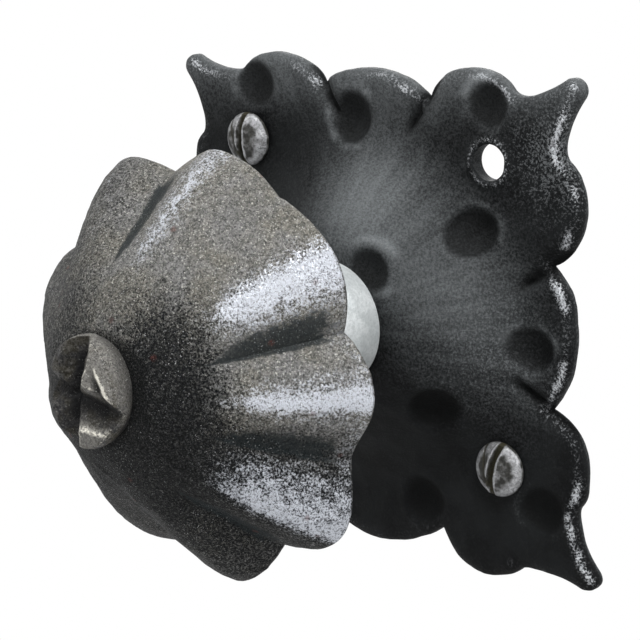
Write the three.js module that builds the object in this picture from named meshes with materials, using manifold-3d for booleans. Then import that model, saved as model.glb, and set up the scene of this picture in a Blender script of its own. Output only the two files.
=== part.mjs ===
// Hand-forged cabinet knob: a fluted hollow cap on a sleeve, riveted to a lobed backplate
// that two round-head screws hold to a door or drawer front.
// Millimetres. The knob is built with its axis along local +Z, starting at the back of the
// plate (height 0), and the finished group is turned so that the knob points along -Y.

import * as THREE from "three";
import { mergeVertices } from "three/addons/utils/BufferGeometryUtils.js";
import Module from "manifold-3d";

const wasm = await Module();
wasm.setup();

// Fits
const SEAT_GAP = 0.25; // between faces that bear on each other
const BORE_CLEARANCE = 0.3; // round a shank, on the radius

// Backplate: outline, the same on its four sides and mirrored about its diagonals
const MIDDLE_LOBE_REACH = 30; // from the knob's axis to the crest
const MIDDLE_LOBE_RADIUS = 14;
const SIDE_LOBE_ALONG = 15.6; // centre of the lobe, measured along the side
const SIDE_LOBE_OUT = 24.2; // centre of the lobe, measured away from the axis
const SIDE_LOBE_RADIUS = 7;
const SIDE_LOBE_END_DEG = 40; // where the lobe runs into the horn
const HORN_REACH = 29.2; // centre of the horn's round end, on the diagonal
const HORN_END_RADIUS = 1.5;
const HORN_END_DEG = 125; // where the round end starts
const NECK_PULL_LOBE = 1.7; // how stiffly the neck's curve leaves the lobe
const NECK_PULL_HORN = 3.5;
const HAND_REACH = 4.5; // how far a hammered push fades out along the edge
// Pushes that make the outline uneven: the side (0 up, 1 left, 2 down, 3 right), the station on
// it, the half of the side (1 clockwise of the crest, -1 the other way) and how far it moved
const HAND_WORK = [
  { side: 0, station: "horn", half: 1, by: [0.2, -0.5] },
  { side: 0, station: "neck", half: 1, by: [-0.1, -0.3] },
  { side: 0, station: "lobe", half: 1, by: [0, -0.5] },
  { side: 0, station: "notch", half: 1, by: [-0.5, 0.3] },
  { side: 0, station: "notch", half: -1, by: [1.3, 1.2] },
  { side: 0, station: "lobe", half: -1, by: [0.1, 0.1] },
  { side: 0, station: "neck", half: -1, by: [0.2, 0.8] },
  { side: 0, station: "horn", half: -1, by: [-0.4, -0.2] },
  { side: 1, station: "neck", half: 1, by: [0, -0.6] },
  { side: 1, station: "lobe", half: 1, by: [1.2, -0.3] },
  { side: 1, station: "crest", half: 1, by: [0.5, 0] },
  { side: 1, station: "lobe", half: -1, by: [0.7, 0.2] },
  { side: 2, station: "notch", half: -1, by: [0.8, 0.2] },
  { side: 2, station: "lobe", half: -1, by: [0.6, -0.3] },
  { side: 2, station: "neck", half: -1, by: [0.3, -1.4] },
  { side: 2, station: "horn", half: -1, by: [1.9, 0.1] },
  { side: 3, station: "neck", half: 1, by: [1.5, 0.4] },
  { side: 3, station: "lobe", half: 1, by: [-0.3, -0.1] },
  { side: 3, station: "notch", half: 1, by: [-0.7, -0.2] },
  { side: 3, station: "crest", half: 1, by: [-0.6, 0] },
  { side: 3, station: "notch", half: -1, by: [-0.3, -1] },
  { side: 3, station: "lobe", half: -1, by: [-0.4, -0.5] },
  { side: 3, station: "neck", half: -1, by: [-0.1, -0.6] },
];

// Backplate: section
const PLATE_SHEET = 1.6;
const DOME_RISE = 7.9; // front of the dome above the front of the flange
const DOME_SEAT_RADIUS = 8.5; // flat top that carries the sleeve
const DOME_FOOT_RADIUS = 23.6;
const HOLLOW_TOP_RADIUS = 7.5;
const HOLLOW_FOOT_RADIUS = 22.5;
const EDGE_ROUND = 1.1;
const EDGE_BAND = 2.4; // width over which the edge is rounded off
const CREASE_DEPTH = 0.9; // hammered crease that runs in from a notch
const CREASE_LENGTH = 7;
const CREASE_WIDTH = 1.2;
const CREASE_TURN_DEG = 15;
const CREASED = [[0, 1], [0, -1], [1, 1], [1, -1], [3, 1], [3, -1]]; // side and half of the notch

// Backplate: holes and hammer marks
const HOLE_RADIUS = 2.2;
const HOLE_SQUARE = HORN_REACH * 0.65; // half the spacing of the four holes
// How far each hole was punched off its place: upper right, upper left, lower left, lower right
const HOLE_ERRORS = [[-1, 0.8], [-0.5, 1.3], [0, 0.3], [0.4, 1.7]];
const COLLAR_RADIUS = 3.3; // raised burr round a punched hole that no screw presses flat
const COLLAR_HEIGHT = 0.35;
const PUNCH_RADIUS = 4.5; // ball end of the punch
const PUNCH_DEPTH = 1;
const PUNCH_MARKS = [
  [-18.5, 27.3], [-2.8, 24.1], [17.8, 26.5], [16.2, 11.3], [5.7, 7], [23.9, -2.1],
  [12.5, -10.1], [7.4, -23.5], [25.1, -21.6], [-23.6, 3], [-12.5, -11.5],
];

// Cap
const CAP_SHEET = 1.7;
const RIM_HEIGHT = 32; // lowest edge of the rim above the back of the plate
const CROWN_HEIGHT = 48.5;
const CROWN_FLAT_RADIUS = 6.6;
const CROWN_POWER = 1.3; // roundness of the profile at the crown
const RIM_POWER = 1.2; // roundness of the profile at the rim
const FLUTE_START = 0.16; // share of the way from crown to rim where the flutes begin
const FLUTE_FULL = 0.85;
const FLUTE_SOFTNESS = 0.5; // 0 for a straight flank, 1 for a wave
const RIM_REACH = 25; // from the knob's axis to the rim on a ridge
const FLUTE_DEPTH = 2.8;
// Each ridge of the cap: angle from the plate's right and share of the rim's reach, and the
// angle of the groove that follows it and its share of the depth
const FLUTES = [
  { ridge: -157, reach: 1, groove: -137, depth: 1 },
  { ridge: -117, reach: 0.99, groove: -98, depth: 1 },
  { ridge: -79, reach: 1.044, groove: -60, depth: 1.18 },
  { ridge: -42, reach: 1.064, groove: -21, depth: 1 },
  { ridge: -3, reach: 1, groove: 15, depth: 1.07 },
  { ridge: 35, reach: 0.976, groove: 58, depth: 0.46 },
  { ridge: 80, reach: 0.984, groove: 98, depth: 1.14 },
  { ridge: 117, reach: 0.99, groove: 146, depth: 1 },
  { ridge: 163, reach: 0.99, groove: 183, depth: 1 },
];

// Rivet
const SHANK_RADIUS = 4;
const HEAD_WIDTH = 10.2; // across, level
const HEAD_LENGTH = 12.6; // across, upright: the chisel has spread it
const HEAD_HEIGHT = 4.2;
const HEAD_CROWN = 0.5;
const CHISEL_WIDTH = 3.6;
const CHISEL_DEPTH = 2.5;
const CHISEL_TURNS_DEG = [-16.5, 81];
const TAIL_RADIUS = 6.4;
const TAIL_HEIGHT = 2.8;

// Sleeve between plate and cap
const SLEEVE_FOOT_RADIUS = 7.7;
const SLEEVE_TOP_RADIUS = 6.4;
const SLEEVE_FOOT_HEIGHT = 4;
const SLEEVE_CHAMFER = 0.8;

// Round-head wood screws
const SCREW_HEAD_RADIUS = 3.4;
const SCREW_HEAD_HEIGHT = 1.8;
const SCREW_SHANK_RADIUS = 1.75;
const SCREW_LENGTH = 16;
const SCREW_POINT = 4;
const SLOT_WIDTH = 0.9;
const SLOT_DEPTH = 1.1;
const SCREWS = [
  { name: "screw_upper_left", corner: 1, turn: 90 },
  { name: "screw_lower_right", corner: 3, turn: 78 },
];

// Places and heights that follow from the values above
const HOLES = HOLE_ERRORS.map(([alongX, alongY], corner) => {
  const left = corner === 1 || corner === 2 ? -1 : 1;
  const low = corner > 1 ? -1 : 1;
  return [left * HOLE_SQUARE + alongX, low * HOLE_SQUARE + alongY];
});
const SEAT_HEIGHT = PLATE_SHEET + DOME_RISE;
const HOLLOW_HEIGHT = SEAT_HEIGHT - PLATE_SHEET;
const SHANK_BORE_RADIUS = SHANK_RADIUS + BORE_CLEARANCE;

// Mesh fineness
const ROUND_STEPS = 28;
const HOLE_STEPS = 16;
const PUNCH_STEPS = 14;
const OVERCUT = 1; // how far a cutting tool stands out of what it cuts

const radians = THREE.MathUtils.degToRad;
const lerp = THREE.MathUtils.lerp;
const smoothstep = THREE.MathUtils.smoothstep;

const darkIron = new THREE.MeshStandardMaterial({ color: 0x4a4c4e, roughness: 0.62, metalness: 0.85 });
const burnishedIron = new THREE.MeshStandardMaterial({ color: 0x6c6e6f, roughness: 0.5, metalness: 0.9 });
const paleSteel = new THREE.MeshStandardMaterial({ color: 0xc6c9c9, roughness: 0.55, metalness: 0.7 });
const screwSteel = new THREE.MeshStandardMaterial({ color: 0x8b8d8c, roughness: 0.45, metalness: 0.9 });

// Solids

// Closed surface from rows of points that each run once round the axis. The rows go out over
// the front, round the edge and back in over the rear, and the last joins the first.
function ringSolid(rows) {
  const columns = rows[0].length;
  const positions = rows.flat().flatMap((point) => [point.x, point.y, point.z]);
  const indices = [];
  for (let row = 0; row < rows.length; row++) {
    const next = (row + 1) % rows.length;
    for (let column = 0; column < columns; column++) {
      const beside = (column + 1) % columns;
      const a = row * columns + column;
      const b = next * columns + column;
      const c = next * columns + beside;
      const d = row * columns + beside;
      indices.push(a, b, c, a, c, d);
    }
  }
  const geometry = new THREE.BufferGeometry();
  geometry.setAttribute("position", new THREE.Float32BufferAttribute(positions, 3));
  geometry.setIndex(indices);
  return geometry;
}

// Turned shape about local +Z, from a profile of [radius, height] pairs that starts and ends
// on the axis or closes on itself, with its material on the left hand
function turned(profile, steps = ROUND_STEPS) {
  const points = profile.map(([radius, height]) => new THREE.Vector2(radius, height));
  return new THREE.LatheGeometry(points, steps).rotateX(Math.PI / 2);
}

function toManifold(geometry) {
  const bare = geometry.clone();
  bare.deleteAttribute("normal");
  bare.deleteAttribute("uv");
  const merged = mergeVertices(bare, 1e-4);
  const corners = merged.index.array;
  const triangles = [];
  for (let i = 0; i < corners.length; i += 3) {
    const [a, b, c] = corners.slice(i, i + 3);
    if (a !== b && b !== c && c !== a) triangles.push(a, b, c);
  }
  return new wasm.Manifold(new wasm.Mesh({
    numProp: 3,
    vertProperties: new Float32Array(merged.attributes.position.array),
    triVerts: new Uint32Array(triangles),
  }));
}

function toGeometry(manifold) {
  const mesh = manifold.getMesh();
  const geometry = new THREE.BufferGeometry();
  geometry.setAttribute("position", new THREE.BufferAttribute(mesh.vertProperties, 3));
  geometry.setIndex(new THREE.BufferAttribute(mesh.triVerts, 1));
  geometry.computeVertexNormals();
  return geometry;
}

function named(name, manifold, material) {
  const mesh = new THREE.Mesh(toGeometry(manifold), material);
  mesh.name = name;
  return mesh;
}

// Backplate outline

// Point where the middle lobe's circle meets the side lobe's
function notchPoint() {
  const middle = new THREE.Vector2(0, MIDDLE_LOBE_REACH - MIDDLE_LOBE_RADIUS);
  const side = new THREE.Vector2(SIDE_LOBE_ALONG, SIDE_LOBE_OUT);
  const across = side.clone().sub(middle);
  const apart = across.length();
  const along = (MIDDLE_LOBE_RADIUS ** 2 - SIDE_LOBE_RADIUS ** 2 + apart ** 2) / (2 * apart);
  const off = Math.sqrt(MIDDLE_LOBE_RADIUS ** 2 - along ** 2);
  const direction = across.divideScalar(apart);
  return middle.addScaledVector(direction, along)
    .add(new THREE.Vector2(-direction.y, direction.x).multiplyScalar(off));
}

function arc(centre, radius, from, to, steps) {
  return Array.from({ length: steps + 1 }, (_, i) => {
    const angle = lerp(from, to, i / steps);
    return new THREE.Vector2(centre.x + radius * Math.cos(angle), centre.y + radius * Math.sin(angle));
  });
}

// An eighth of the outline, from the crest of the upper lobe to the diagonal
function outlineEighth() {
  const notch = notchPoint();
  const middle = new THREE.Vector2(0, MIDDLE_LOBE_REACH - MIDDLE_LOBE_RADIUS);
  const side = new THREE.Vector2(SIDE_LOBE_ALONG, SIDE_LOBE_OUT);
  const horn = new THREE.Vector2(HORN_REACH, HORN_REACH);
  const middleEnd = notch.clone().sub(middle).angle();
  const sideStart = notch.clone().sub(side).angle();
  const sideEnd = radians(SIDE_LOBE_END_DEG);
  const hornStart = radians(HORN_END_DEG);
  const middleArc = arc(middle, MIDDLE_LOBE_RADIUS, Math.PI / 2, middleEnd, 3);
  const sideArc = arc(side, SIDE_LOBE_RADIUS, sideStart, sideEnd, 5);
  const hornArc = arc(horn, HORN_END_RADIUS, hornStart, Math.PI / 4, 2);
  const neckStart = sideArc.at(-1);
  const neckEnd = hornArc[0];
  const leaving = new THREE.Vector2(Math.sin(sideEnd), -Math.cos(sideEnd));
  const arriving = new THREE.Vector2(Math.sin(hornStart), -Math.cos(hornStart));
  const neck = new THREE.CubicBezierCurve(
    neckStart,
    neckStart.clone().addScaledVector(leaving, NECK_PULL_LOBE),
    neckEnd.clone().addScaledVector(arriving, -NECK_PULL_HORN),
    neckEnd,
  ).getPoints(3);
  return [...middleArc, ...sideArc.slice(1), ...neck.slice(1), ...hornArc.slice(1)];
}

// Whole outline anticlockwise from the upper crest. Each entry has its place on the edge and
// the angle at which its line of points leaves the dome, which follows the length run.
function plateOutline() {
  const eighth = outlineEighth();
  const runs = [0];
  for (let i = 1; i < eighth.length; i++) {
    runs.push(runs[i - 1] + eighth[i].distanceTo(eighth[i - 1]));
  }
  const turn = (i) => (Math.PI / 4) * (runs[i] / runs.at(-1));
  const outline = [];
  for (let side = 0; side < 4; side++) {
    const upright = Math.PI / 2 + side * Math.PI / 2;
    const about = side * Math.PI / 2;
    const origin = new THREE.Vector2();
    for (let i = 0; i < eighth.length; i++) {
      const point = new THREE.Vector2(-eighth[i].x, eighth[i].y).rotateAround(origin, about);
      outline.push({ point: handWorked(point), angle: upright + turn(i) });
    }
    for (let i = eighth.length - 2; i > 0; i--) {
      const point = new THREE.Vector2(-eighth[i].y, eighth[i].x).rotateAround(origin, about);
      outline.push({ point: handWorked(point), angle: upright + Math.PI / 2 - turn(i) });
    }
  }
  return outline;
}

// The pushes, each at its place on the regular outline
function handPushes() {
  const eighth = outlineEighth();
  const stations = {
    crest: eighth[0],
    notch: notchPoint(),
    lobe: new THREE.Vector2(SIDE_LOBE_ALONG, SIDE_LOBE_OUT + SIDE_LOBE_RADIUS),
    neck: eighth[9],
    horn: eighth.at(-1),
  };
  return HAND_WORK.map(({ side, station, half, by }) => {
    const { x, y } = stations[station];
    const at = new THREE.Vector2(half * x, y).rotateAround(new THREE.Vector2(), side * Math.PI / 2);
    return { at, by: new THREE.Vector2(...by) };
  });
}

const pushes = handPushes();

// Point of the regular outline, moved by the pushes near it
function handWorked(point) {
  const moved = point.clone();
  for (const { at, by } of pushes) {
    moved.addScaledVector(by, Math.exp(-((point.distanceTo(at) / HAND_REACH) ** 2)));
  }
  return moved;
}

// Backplate surface

function creases() {
  const notch = notchPoint();
  const inward = radians(CREASE_TURN_DEG);
  return CREASED.map(([side, half]) => {
    const start = new THREE.Vector2(half * notch.x, notch.y);
    const line = start.clone().normalize().negate().rotateAround(new THREE.Vector2(), -half * inward);
    const centre = new THREE.Vector2();
    start.rotateAround(centre, side * Math.PI / 2);
    line.rotateAround(centre, side * Math.PI / 2);
    return { start: handWorked(start), line };
  });
}

const creaseLines = creases();

// Height of the plate's front at x, y, before its edge is rounded
function frontHeight(x, y) {
  const dome = 1 - smoothstep(Math.hypot(x, y), DOME_SEAT_RADIUS, DOME_FOOT_RADIUS);
  let height = PLATE_SHEET + DOME_RISE * dome;
  for (const { start, line } of creaseLines) {
    const away = new THREE.Vector2(x, y).sub(start);
    const along = away.dot(line);
    const off = away.cross(line);
    const fade = 1 - smoothstep(Math.abs(along), 0, CREASE_LENGTH);
    height -= CREASE_DEPTH * fade * Math.exp(-((off / CREASE_WIDTH) ** 2));
  }
  return height;
}

function hollowHeight(radius) {
  return HOLLOW_HEIGHT * (1 - smoothstep(radius, HOLLOW_TOP_RADIUS, HOLLOW_FOOT_RADIUS));
}

function plateBlank() {
  const outline = plateOutline();
  const ring = (radius, height) => outline.map(({ angle }) => {
    const x = radius * Math.cos(angle);
    const y = radius * Math.sin(angle);
    return new THREE.Vector3(x, y, height(x, y));
  });
  // Row of the flange, a share of the way from the rounded edge band in to the dome's foot
  // and then out again by a share of the band. Near the edge the sheet thins by the drop.
  const flange = (inShare, bandShare, drop) => outline.map(({ point, angle }) => {
    const foot = new THREE.Vector2(Math.cos(angle), Math.sin(angle)).multiplyScalar(DOME_FOOT_RADIUS);
    const inward = foot.clone().sub(point);
    const band = inward.clone().setLength(Math.min(EDGE_BAND, inward.length() * 0.8));
    const start = point.clone().addScaledVector(band, 1 - bandShare);
    const place = start.lerp(foot, inShare);
    const height = frontHeight(place.x, place.y) * (1 - (drop * EDGE_ROUND) / PLATE_SHEET);
    return new THREE.Vector3(place.x, place.y, height);
  });
  const back = outline.map(({ point }) => new THREE.Vector3(point.x, point.y, 0));
  const domeShares = [0.15, 0.32, 0.5, 0.68, 0.86, 1];
  const hollowShares = [0.8, 0.6, 0.4, 0.2];
  return ringSolid([
    ring(SHANK_BORE_RADIUS, frontHeight),
    ring(DOME_SEAT_RADIUS, frontHeight),
    ...domeShares.map((s) => ring(lerp(DOME_SEAT_RADIUS, DOME_FOOT_RADIUS, s), frontHeight)),
    flange(0.5, 0, 0),
    flange(0, 0, 0),
    flange(0, 0.68, 0.25),
    flange(0, 1, 1),
    back,
    ring(HOLLOW_FOOT_RADIUS, () => 0),
    ...hollowShares.map((s) => ring(
      lerp(HOLLOW_TOP_RADIUS, HOLLOW_FOOT_RADIUS, s),
      (x, y) => hollowHeight(Math.hypot(x, y)),
    )),
    ring(HOLLOW_TOP_RADIUS, () => HOLLOW_HEIGHT),
    ring(SHANK_BORE_RADIUS, () => HOLLOW_HEIGHT),
  ]);
}

// Ball punch, set square to the surface at x, y
function punch(x, y) {
  const step = 0.5;
  const slopeX = (frontHeight(x + step, y) - frontHeight(x - step, y)) / (2 * step);
  const slopeY = (frontHeight(x, y + step) - frontHeight(x, y - step)) / (2 * step);
  const normal = new THREE.Vector3(-slopeX, -slopeY, 1).normalize();
  const centre = new THREE.Vector3(x, y, frontHeight(x, y));
  centre.addScaledVector(normal, PUNCH_RADIUS - PUNCH_DEPTH);
  const ball = new THREE.SphereGeometry(PUNCH_RADIUS, PUNCH_STEPS, 12);
  const upright = new THREE.Vector3(0, 1, 0);
  ball.applyQuaternion(new THREE.Quaternion().setFromUnitVectors(upright, normal));
  return ball.translate(centre.x, centre.y, centre.z);
}

function backplate() {
  let plate = toManifold(plateBlank());
  const screwed = SCREWS.map(({ corner }) => corner);
  const top = PLATE_SHEET + COLLAR_HEIGHT;
  for (const [corner, [x, y]] of HOLES.entries()) {
    if (!screwed.includes(corner)) {
      const collar = turned([
        [0, PLATE_SHEET / 2],
        [COLLAR_RADIUS, PLATE_SHEET / 2],
        [COLLAR_RADIUS, PLATE_SHEET],
        [(COLLAR_RADIUS + HOLE_RADIUS) / 2, top],
        [0, top],
      ], HOLE_STEPS);
      plate = plate.add(toManifold(collar.translate(x, y, 0)));
    }
    const hole = turned([
      [0, -OVERCUT],
      [HOLE_RADIUS, -OVERCUT],
      [HOLE_RADIUS, top + OVERCUT],
      [0, top + OVERCUT],
    ], HOLE_STEPS);
    plate = plate.subtract(toManifold(hole.translate(x, y, 0)));
  }
  for (const [x, y] of PUNCH_MARKS) {
    plate = plate.subtract(toManifold(punch(x, y)));
  }
  return named("backplate", plate, darkIron);
}

// Cap

// Columns round the cap, five to each flank so that ridges and grooves fall on a column.
// Each has its angle, the reach of the rim there and how deep the groove is.
function capColumns() {
  const steps = 5;
  const columns = [];
  FLUTES.forEach((flute, i) => {
    const next = FLUTES[(i + 1) % FLUTES.length];
    const nextRidge = next.ridge < flute.ridge ? next.ridge + 360 : next.ridge;
    for (let k = 0; k < 2 * steps; k++) {
      const falling = k < steps;
      const share = falling ? k / steps : (k - steps) / steps;
      const degrees = falling
        ? lerp(flute.ridge, flute.groove, share)
        : lerp(flute.groove, nextRidge, share);
      const straight = falling ? share : 1 - share;
      const wave = (1 - Math.cos(Math.PI * straight)) / 2;
      columns.push({
        angle: radians(degrees),
        reach: RIM_REACH * lerp(flute.reach, next.reach, smoothstep(k / (2 * steps), 0, 1)),
        depth: FLUTE_DEPTH * flute.depth * lerp(straight, wave, FLUTE_SOFTNESS),
      });
    }
  });
  return columns;
}

// Row of the cap's skin. The turn goes from 0 at the crown to 90 at the rim, and the skin
// lies the given distance inside the outer one.
function capRow(columns, turn, inside) {
  const base = RIM_HEIGHT + CAP_SHEET / 2;
  const out = Math.sin(radians(turn)) ** (2 / CROWN_POWER);
  const up = Math.abs(Math.cos(radians(turn))) ** (2 / RIM_POWER);
  const fluted = smoothstep(out, FLUTE_START, FLUTE_FULL);
  return columns.map(({ angle, reach, depth }) => {
    const radius = lerp(CROWN_FLAT_RADIUS, reach - inside, out) - depth * fluted;
    const height = lerp(base, CROWN_HEIGHT - inside, up);
    return new THREE.Vector3(radius * Math.cos(angle), radius * Math.sin(angle), height);
  });
}

function cap() {
  const columns = capColumns();
  const outerTurns = [0, 11, 22, 32, 42, 51, 60, 68, 76, 83, 90];
  const innerTurns = [90, 74, 58, 40, 20, 0];
  const bore = (height) => columns.map(({ angle }) => new THREE.Vector3(
    SHANK_BORE_RADIUS * Math.cos(angle),
    SHANK_BORE_RADIUS * Math.sin(angle),
    height,
  ));
  const edge = capRow(columns, 90, CAP_SHEET / 2).map((point) => point.setZ(RIM_HEIGHT));
  const skin = ringSolid([
    bore(CROWN_HEIGHT),
    ...outerTurns.map((turn) => capRow(columns, turn, 0)),
    edge,
    ...innerTurns.map((turn) => capRow(columns, turn, CAP_SHEET)),
    bore(CROWN_HEIGHT - CAP_SHEET),
  ]);
  return named("knob_cap", toManifold(skin), burnishedIron);
}

// Rivet: chiselled head on the cap, tail peened over inside the plate's dome
function rivet() {
  const headFoot = CROWN_HEIGHT + SEAT_GAP;
  const headTop = headFoot + HEAD_HEIGHT;
  const tailTop = HOLLOW_HEIGHT - SEAT_GAP;
  const shank = turned([
    [0, tailTop - TAIL_HEIGHT],
    [TAIL_RADIUS * 0.6, tailTop - TAIL_HEIGHT],
    [TAIL_RADIUS * 0.92, tailTop - TAIL_HEIGHT * 0.6],
    [TAIL_RADIUS, tailTop - TAIL_HEIGHT * 0.2],
    [TAIL_RADIUS * 0.95, tailTop],
    [SHANK_RADIUS, tailTop],
    [SHANK_RADIUS, headFoot + HEAD_HEIGHT / 4],
    [0, headFoot + HEAD_HEIGHT / 4],
  ]);
  const head = turned([
    [0, 0],
    [0.9, 0],
    [1, HEAD_HEIGHT * 0.25],
    [1, HEAD_HEIGHT * 0.6],
    [0.95, HEAD_HEIGHT * 0.84],
    [0.82, HEAD_HEIGHT - HEAD_CROWN * 0.5],
    [0.45, HEAD_HEIGHT - HEAD_CROWN * 0.15],
    [0, HEAD_HEIGHT],
  ], 32).scale(HEAD_WIDTH / 2, HEAD_LENGTH / 2, 1).translate(0, 0, headFoot);
  let piece = toManifold(shank).add(toManifold(head));
  for (const degrees of CHISEL_TURNS_DEG) {
    piece = piece.subtract(toManifold(chisel(headTop).rotateZ(radians(degrees))));
  }
  return named("center_rivet", piece, burnishedIron);
}

// Wedge that cuts a V along local X, its point the chisel's depth below the given height
function chisel(height) {
  const slope = CHISEL_WIDTH / 2 / CHISEL_DEPTH;
  const section = new THREE.Shape([
    new THREE.Vector2(0, -CHISEL_DEPTH),
    new THREE.Vector2(slope * (CHISEL_DEPTH + OVERCUT), OVERCUT),
    new THREE.Vector2(-slope * (CHISEL_DEPTH + OVERCUT), OVERCUT),
  ]);
  const length = HEAD_LENGTH + 2 * OVERCUT;
  const wedge = new THREE.ExtrudeGeometry(section, { depth: length, bevelEnabled: false });
  wedge.translate(0, 0, -length / 2).rotateX(Math.PI / 2).rotateZ(Math.PI / 2);
  return wedge.translate(0, 0, height);
}

function sleeve() {
  const foot = SEAT_HEIGHT + SEAT_GAP;
  const top = CROWN_HEIGHT - CAP_SHEET - SEAT_GAP;
  const tube = turned([
    [SHANK_BORE_RADIUS, foot],
    [SLEEVE_FOOT_RADIUS, foot],
    [SLEEVE_FOOT_RADIUS, foot + SLEEVE_FOOT_HEIGHT],
    [SLEEVE_TOP_RADIUS, foot + SLEEVE_FOOT_HEIGHT * 2],
    [SLEEVE_TOP_RADIUS, top - SLEEVE_CHAMFER],
    [SLEEVE_TOP_RADIUS - SLEEVE_CHAMFER, top],
    [SHANK_BORE_RADIUS, top],
    [SHANK_BORE_RADIUS, foot],
  ]);
  return named("sleeve", toManifold(tube), paleSteel);
}

function screw({ name, corner, turn }) {
  const seat = PLATE_SHEET + SEAT_GAP;
  const body = turned([
    [0, -SCREW_LENGTH],
    [SCREW_SHANK_RADIUS, -SCREW_LENGTH + SCREW_POINT],
    [SCREW_SHANK_RADIUS, 0],
    [SCREW_HEAD_RADIUS * 0.96, 0],
    [SCREW_HEAD_RADIUS, SCREW_HEAD_HEIGHT * 0.2],
    [SCREW_HEAD_RADIUS * 0.93, SCREW_HEAD_HEIGHT * 0.52],
    [SCREW_HEAD_RADIUS * 0.72, SCREW_HEAD_HEIGHT * 0.8],
    [SCREW_HEAD_RADIUS * 0.4, SCREW_HEAD_HEIGHT * 0.96],
    [0, SCREW_HEAD_HEIGHT],
  ], 24);
  const slot = new THREE.BoxGeometry(2 * (SCREW_HEAD_RADIUS + OVERCUT), SLOT_WIDTH, SLOT_DEPTH + OVERCUT);
  slot.translate(0, 0, SCREW_HEAD_HEIGHT - SLOT_DEPTH + (SLOT_DEPTH + OVERCUT) / 2);
  slot.rotateZ(radians(turn));
  const piece = named(name, toManifold(body).subtract(toManifold(slot)), screwSteel);
  piece.position.set(...HOLES[corner], seat);
  return piece;
}

const knob = new THREE.Group();
knob.add(backplate(), cap(), rivet(), sleeve(), ...SCREWS.map(screw));
knob.rotation.x = Math.PI / 2;

export default knob;
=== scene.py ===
"""Hand-forged cabinet knob with its backplate: fine shapes, finishes, light and camera."""

import math

import bpy
import numpy as np
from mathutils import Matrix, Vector
from mathutils import noise
from mathutils.geometry import delaunay_2d_cdt


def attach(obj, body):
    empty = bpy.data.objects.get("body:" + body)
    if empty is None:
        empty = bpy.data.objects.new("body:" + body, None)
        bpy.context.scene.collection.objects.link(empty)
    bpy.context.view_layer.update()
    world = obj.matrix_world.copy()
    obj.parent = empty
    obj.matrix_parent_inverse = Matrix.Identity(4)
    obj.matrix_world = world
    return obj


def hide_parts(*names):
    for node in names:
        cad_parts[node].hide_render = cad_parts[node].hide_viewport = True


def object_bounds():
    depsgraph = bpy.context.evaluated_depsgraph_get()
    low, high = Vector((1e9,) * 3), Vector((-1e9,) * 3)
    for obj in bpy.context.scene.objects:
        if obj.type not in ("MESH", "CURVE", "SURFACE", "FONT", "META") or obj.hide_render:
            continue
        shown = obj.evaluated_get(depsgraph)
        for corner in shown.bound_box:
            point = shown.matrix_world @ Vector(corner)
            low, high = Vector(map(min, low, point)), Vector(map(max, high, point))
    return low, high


bl_info = {
    "name": "Forged Cabinet Knob",
    "version": (1, 0, 0),
    "blender": (4, 5, 0),
    "location": "3D View > Sidebar > Knob",
    "description": "Builds a forged iron cabinet knob and its lobed backplate, with their finishes",
    "category": "Object",
}

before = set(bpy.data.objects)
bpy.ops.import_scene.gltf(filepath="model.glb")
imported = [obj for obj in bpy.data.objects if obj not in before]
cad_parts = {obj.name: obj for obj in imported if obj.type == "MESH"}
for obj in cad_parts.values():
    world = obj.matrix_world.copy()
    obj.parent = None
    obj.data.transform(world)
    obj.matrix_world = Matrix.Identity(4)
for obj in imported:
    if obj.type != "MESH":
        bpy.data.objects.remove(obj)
CAD_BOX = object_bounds()

MM = 0.001

# Sizes below are in millimetres. Shapes are worked out with x to the right, y up and the
# height measured off the door. row_points turns them into the model's own axes.

# Fits
SEAT_GAP = 0.25
SHANK_RADIUS = 4.0
BORE_RADIUS = 4.3

# Backplate outline
MIDDLE_LOBE_REACH = 30.0
MIDDLE_LOBE_RADIUS = 14.0
SIDE_LOBE_ALONG = 15.6
SIDE_LOBE_OUT = 24.2
SIDE_LOBE_RADIUS = 7.0
MIDDLE_LOBE = np.array([0.0, MIDDLE_LOBE_REACH - MIDDLE_LOBE_RADIUS])
SIDE_LOBE = np.array([SIDE_LOBE_ALONG, SIDE_LOBE_OUT])
SIDE_LOBE_END = math.radians(40)
HORN_REACH = 29.2
HORN_END_RADIUS = 1.5
HORN_END_START = math.radians(125)
NECK_PULL_LOBE = 1.7
NECK_PULL_HORN = 3.5
HAND_REACH = 4.5

# Blows that made the outline uneven: side (0 up, 1 left, 2 down, 3 right), where on the side,
# which half of it, and how far the edge moved
HAND_WORK = (
    (0, "horn", 1, (0.2, -0.5)),
    (0, "neck", 1, (-0.1, -0.3)),
    (0, "lobe", 1, (0.0, -0.5)),
    (0, "notch", 1, (-0.5, 0.3)),
    (0, "notch", -1, (1.3, 1.2)),
    (0, "lobe", -1, (0.1, 0.1)),
    (0, "neck", -1, (0.2, 0.8)),
    (0, "horn", -1, (-0.4, -0.2)),
    (1, "neck", 1, (0.0, -0.6)),
    (1, "lobe", 1, (1.2, -0.3)),
    (1, "crest", 1, (0.5, 0.0)),
    (1, "lobe", -1, (0.7, 0.2)),
    (2, "notch", -1, (0.8, 0.2)),
    (2, "lobe", -1, (0.6, -0.3)),
    (2, "neck", -1, (0.3, -1.4)),
    (2, "horn", -1, (1.9, 0.1)),
    (3, "neck", 1, (1.5, 0.4)),
    (3, "lobe", 1, (-0.3, -0.1)),
    (3, "notch", 1, (-0.7, -0.2)),
    (3, "crest", 1, (-0.6, 0.0)),
    (3, "notch", -1, (-0.3, -1.0)),
    (3, "lobe", -1, (-0.4, -0.5)),
    (3, "neck", -1, (-0.1, -0.6)),
)

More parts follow.
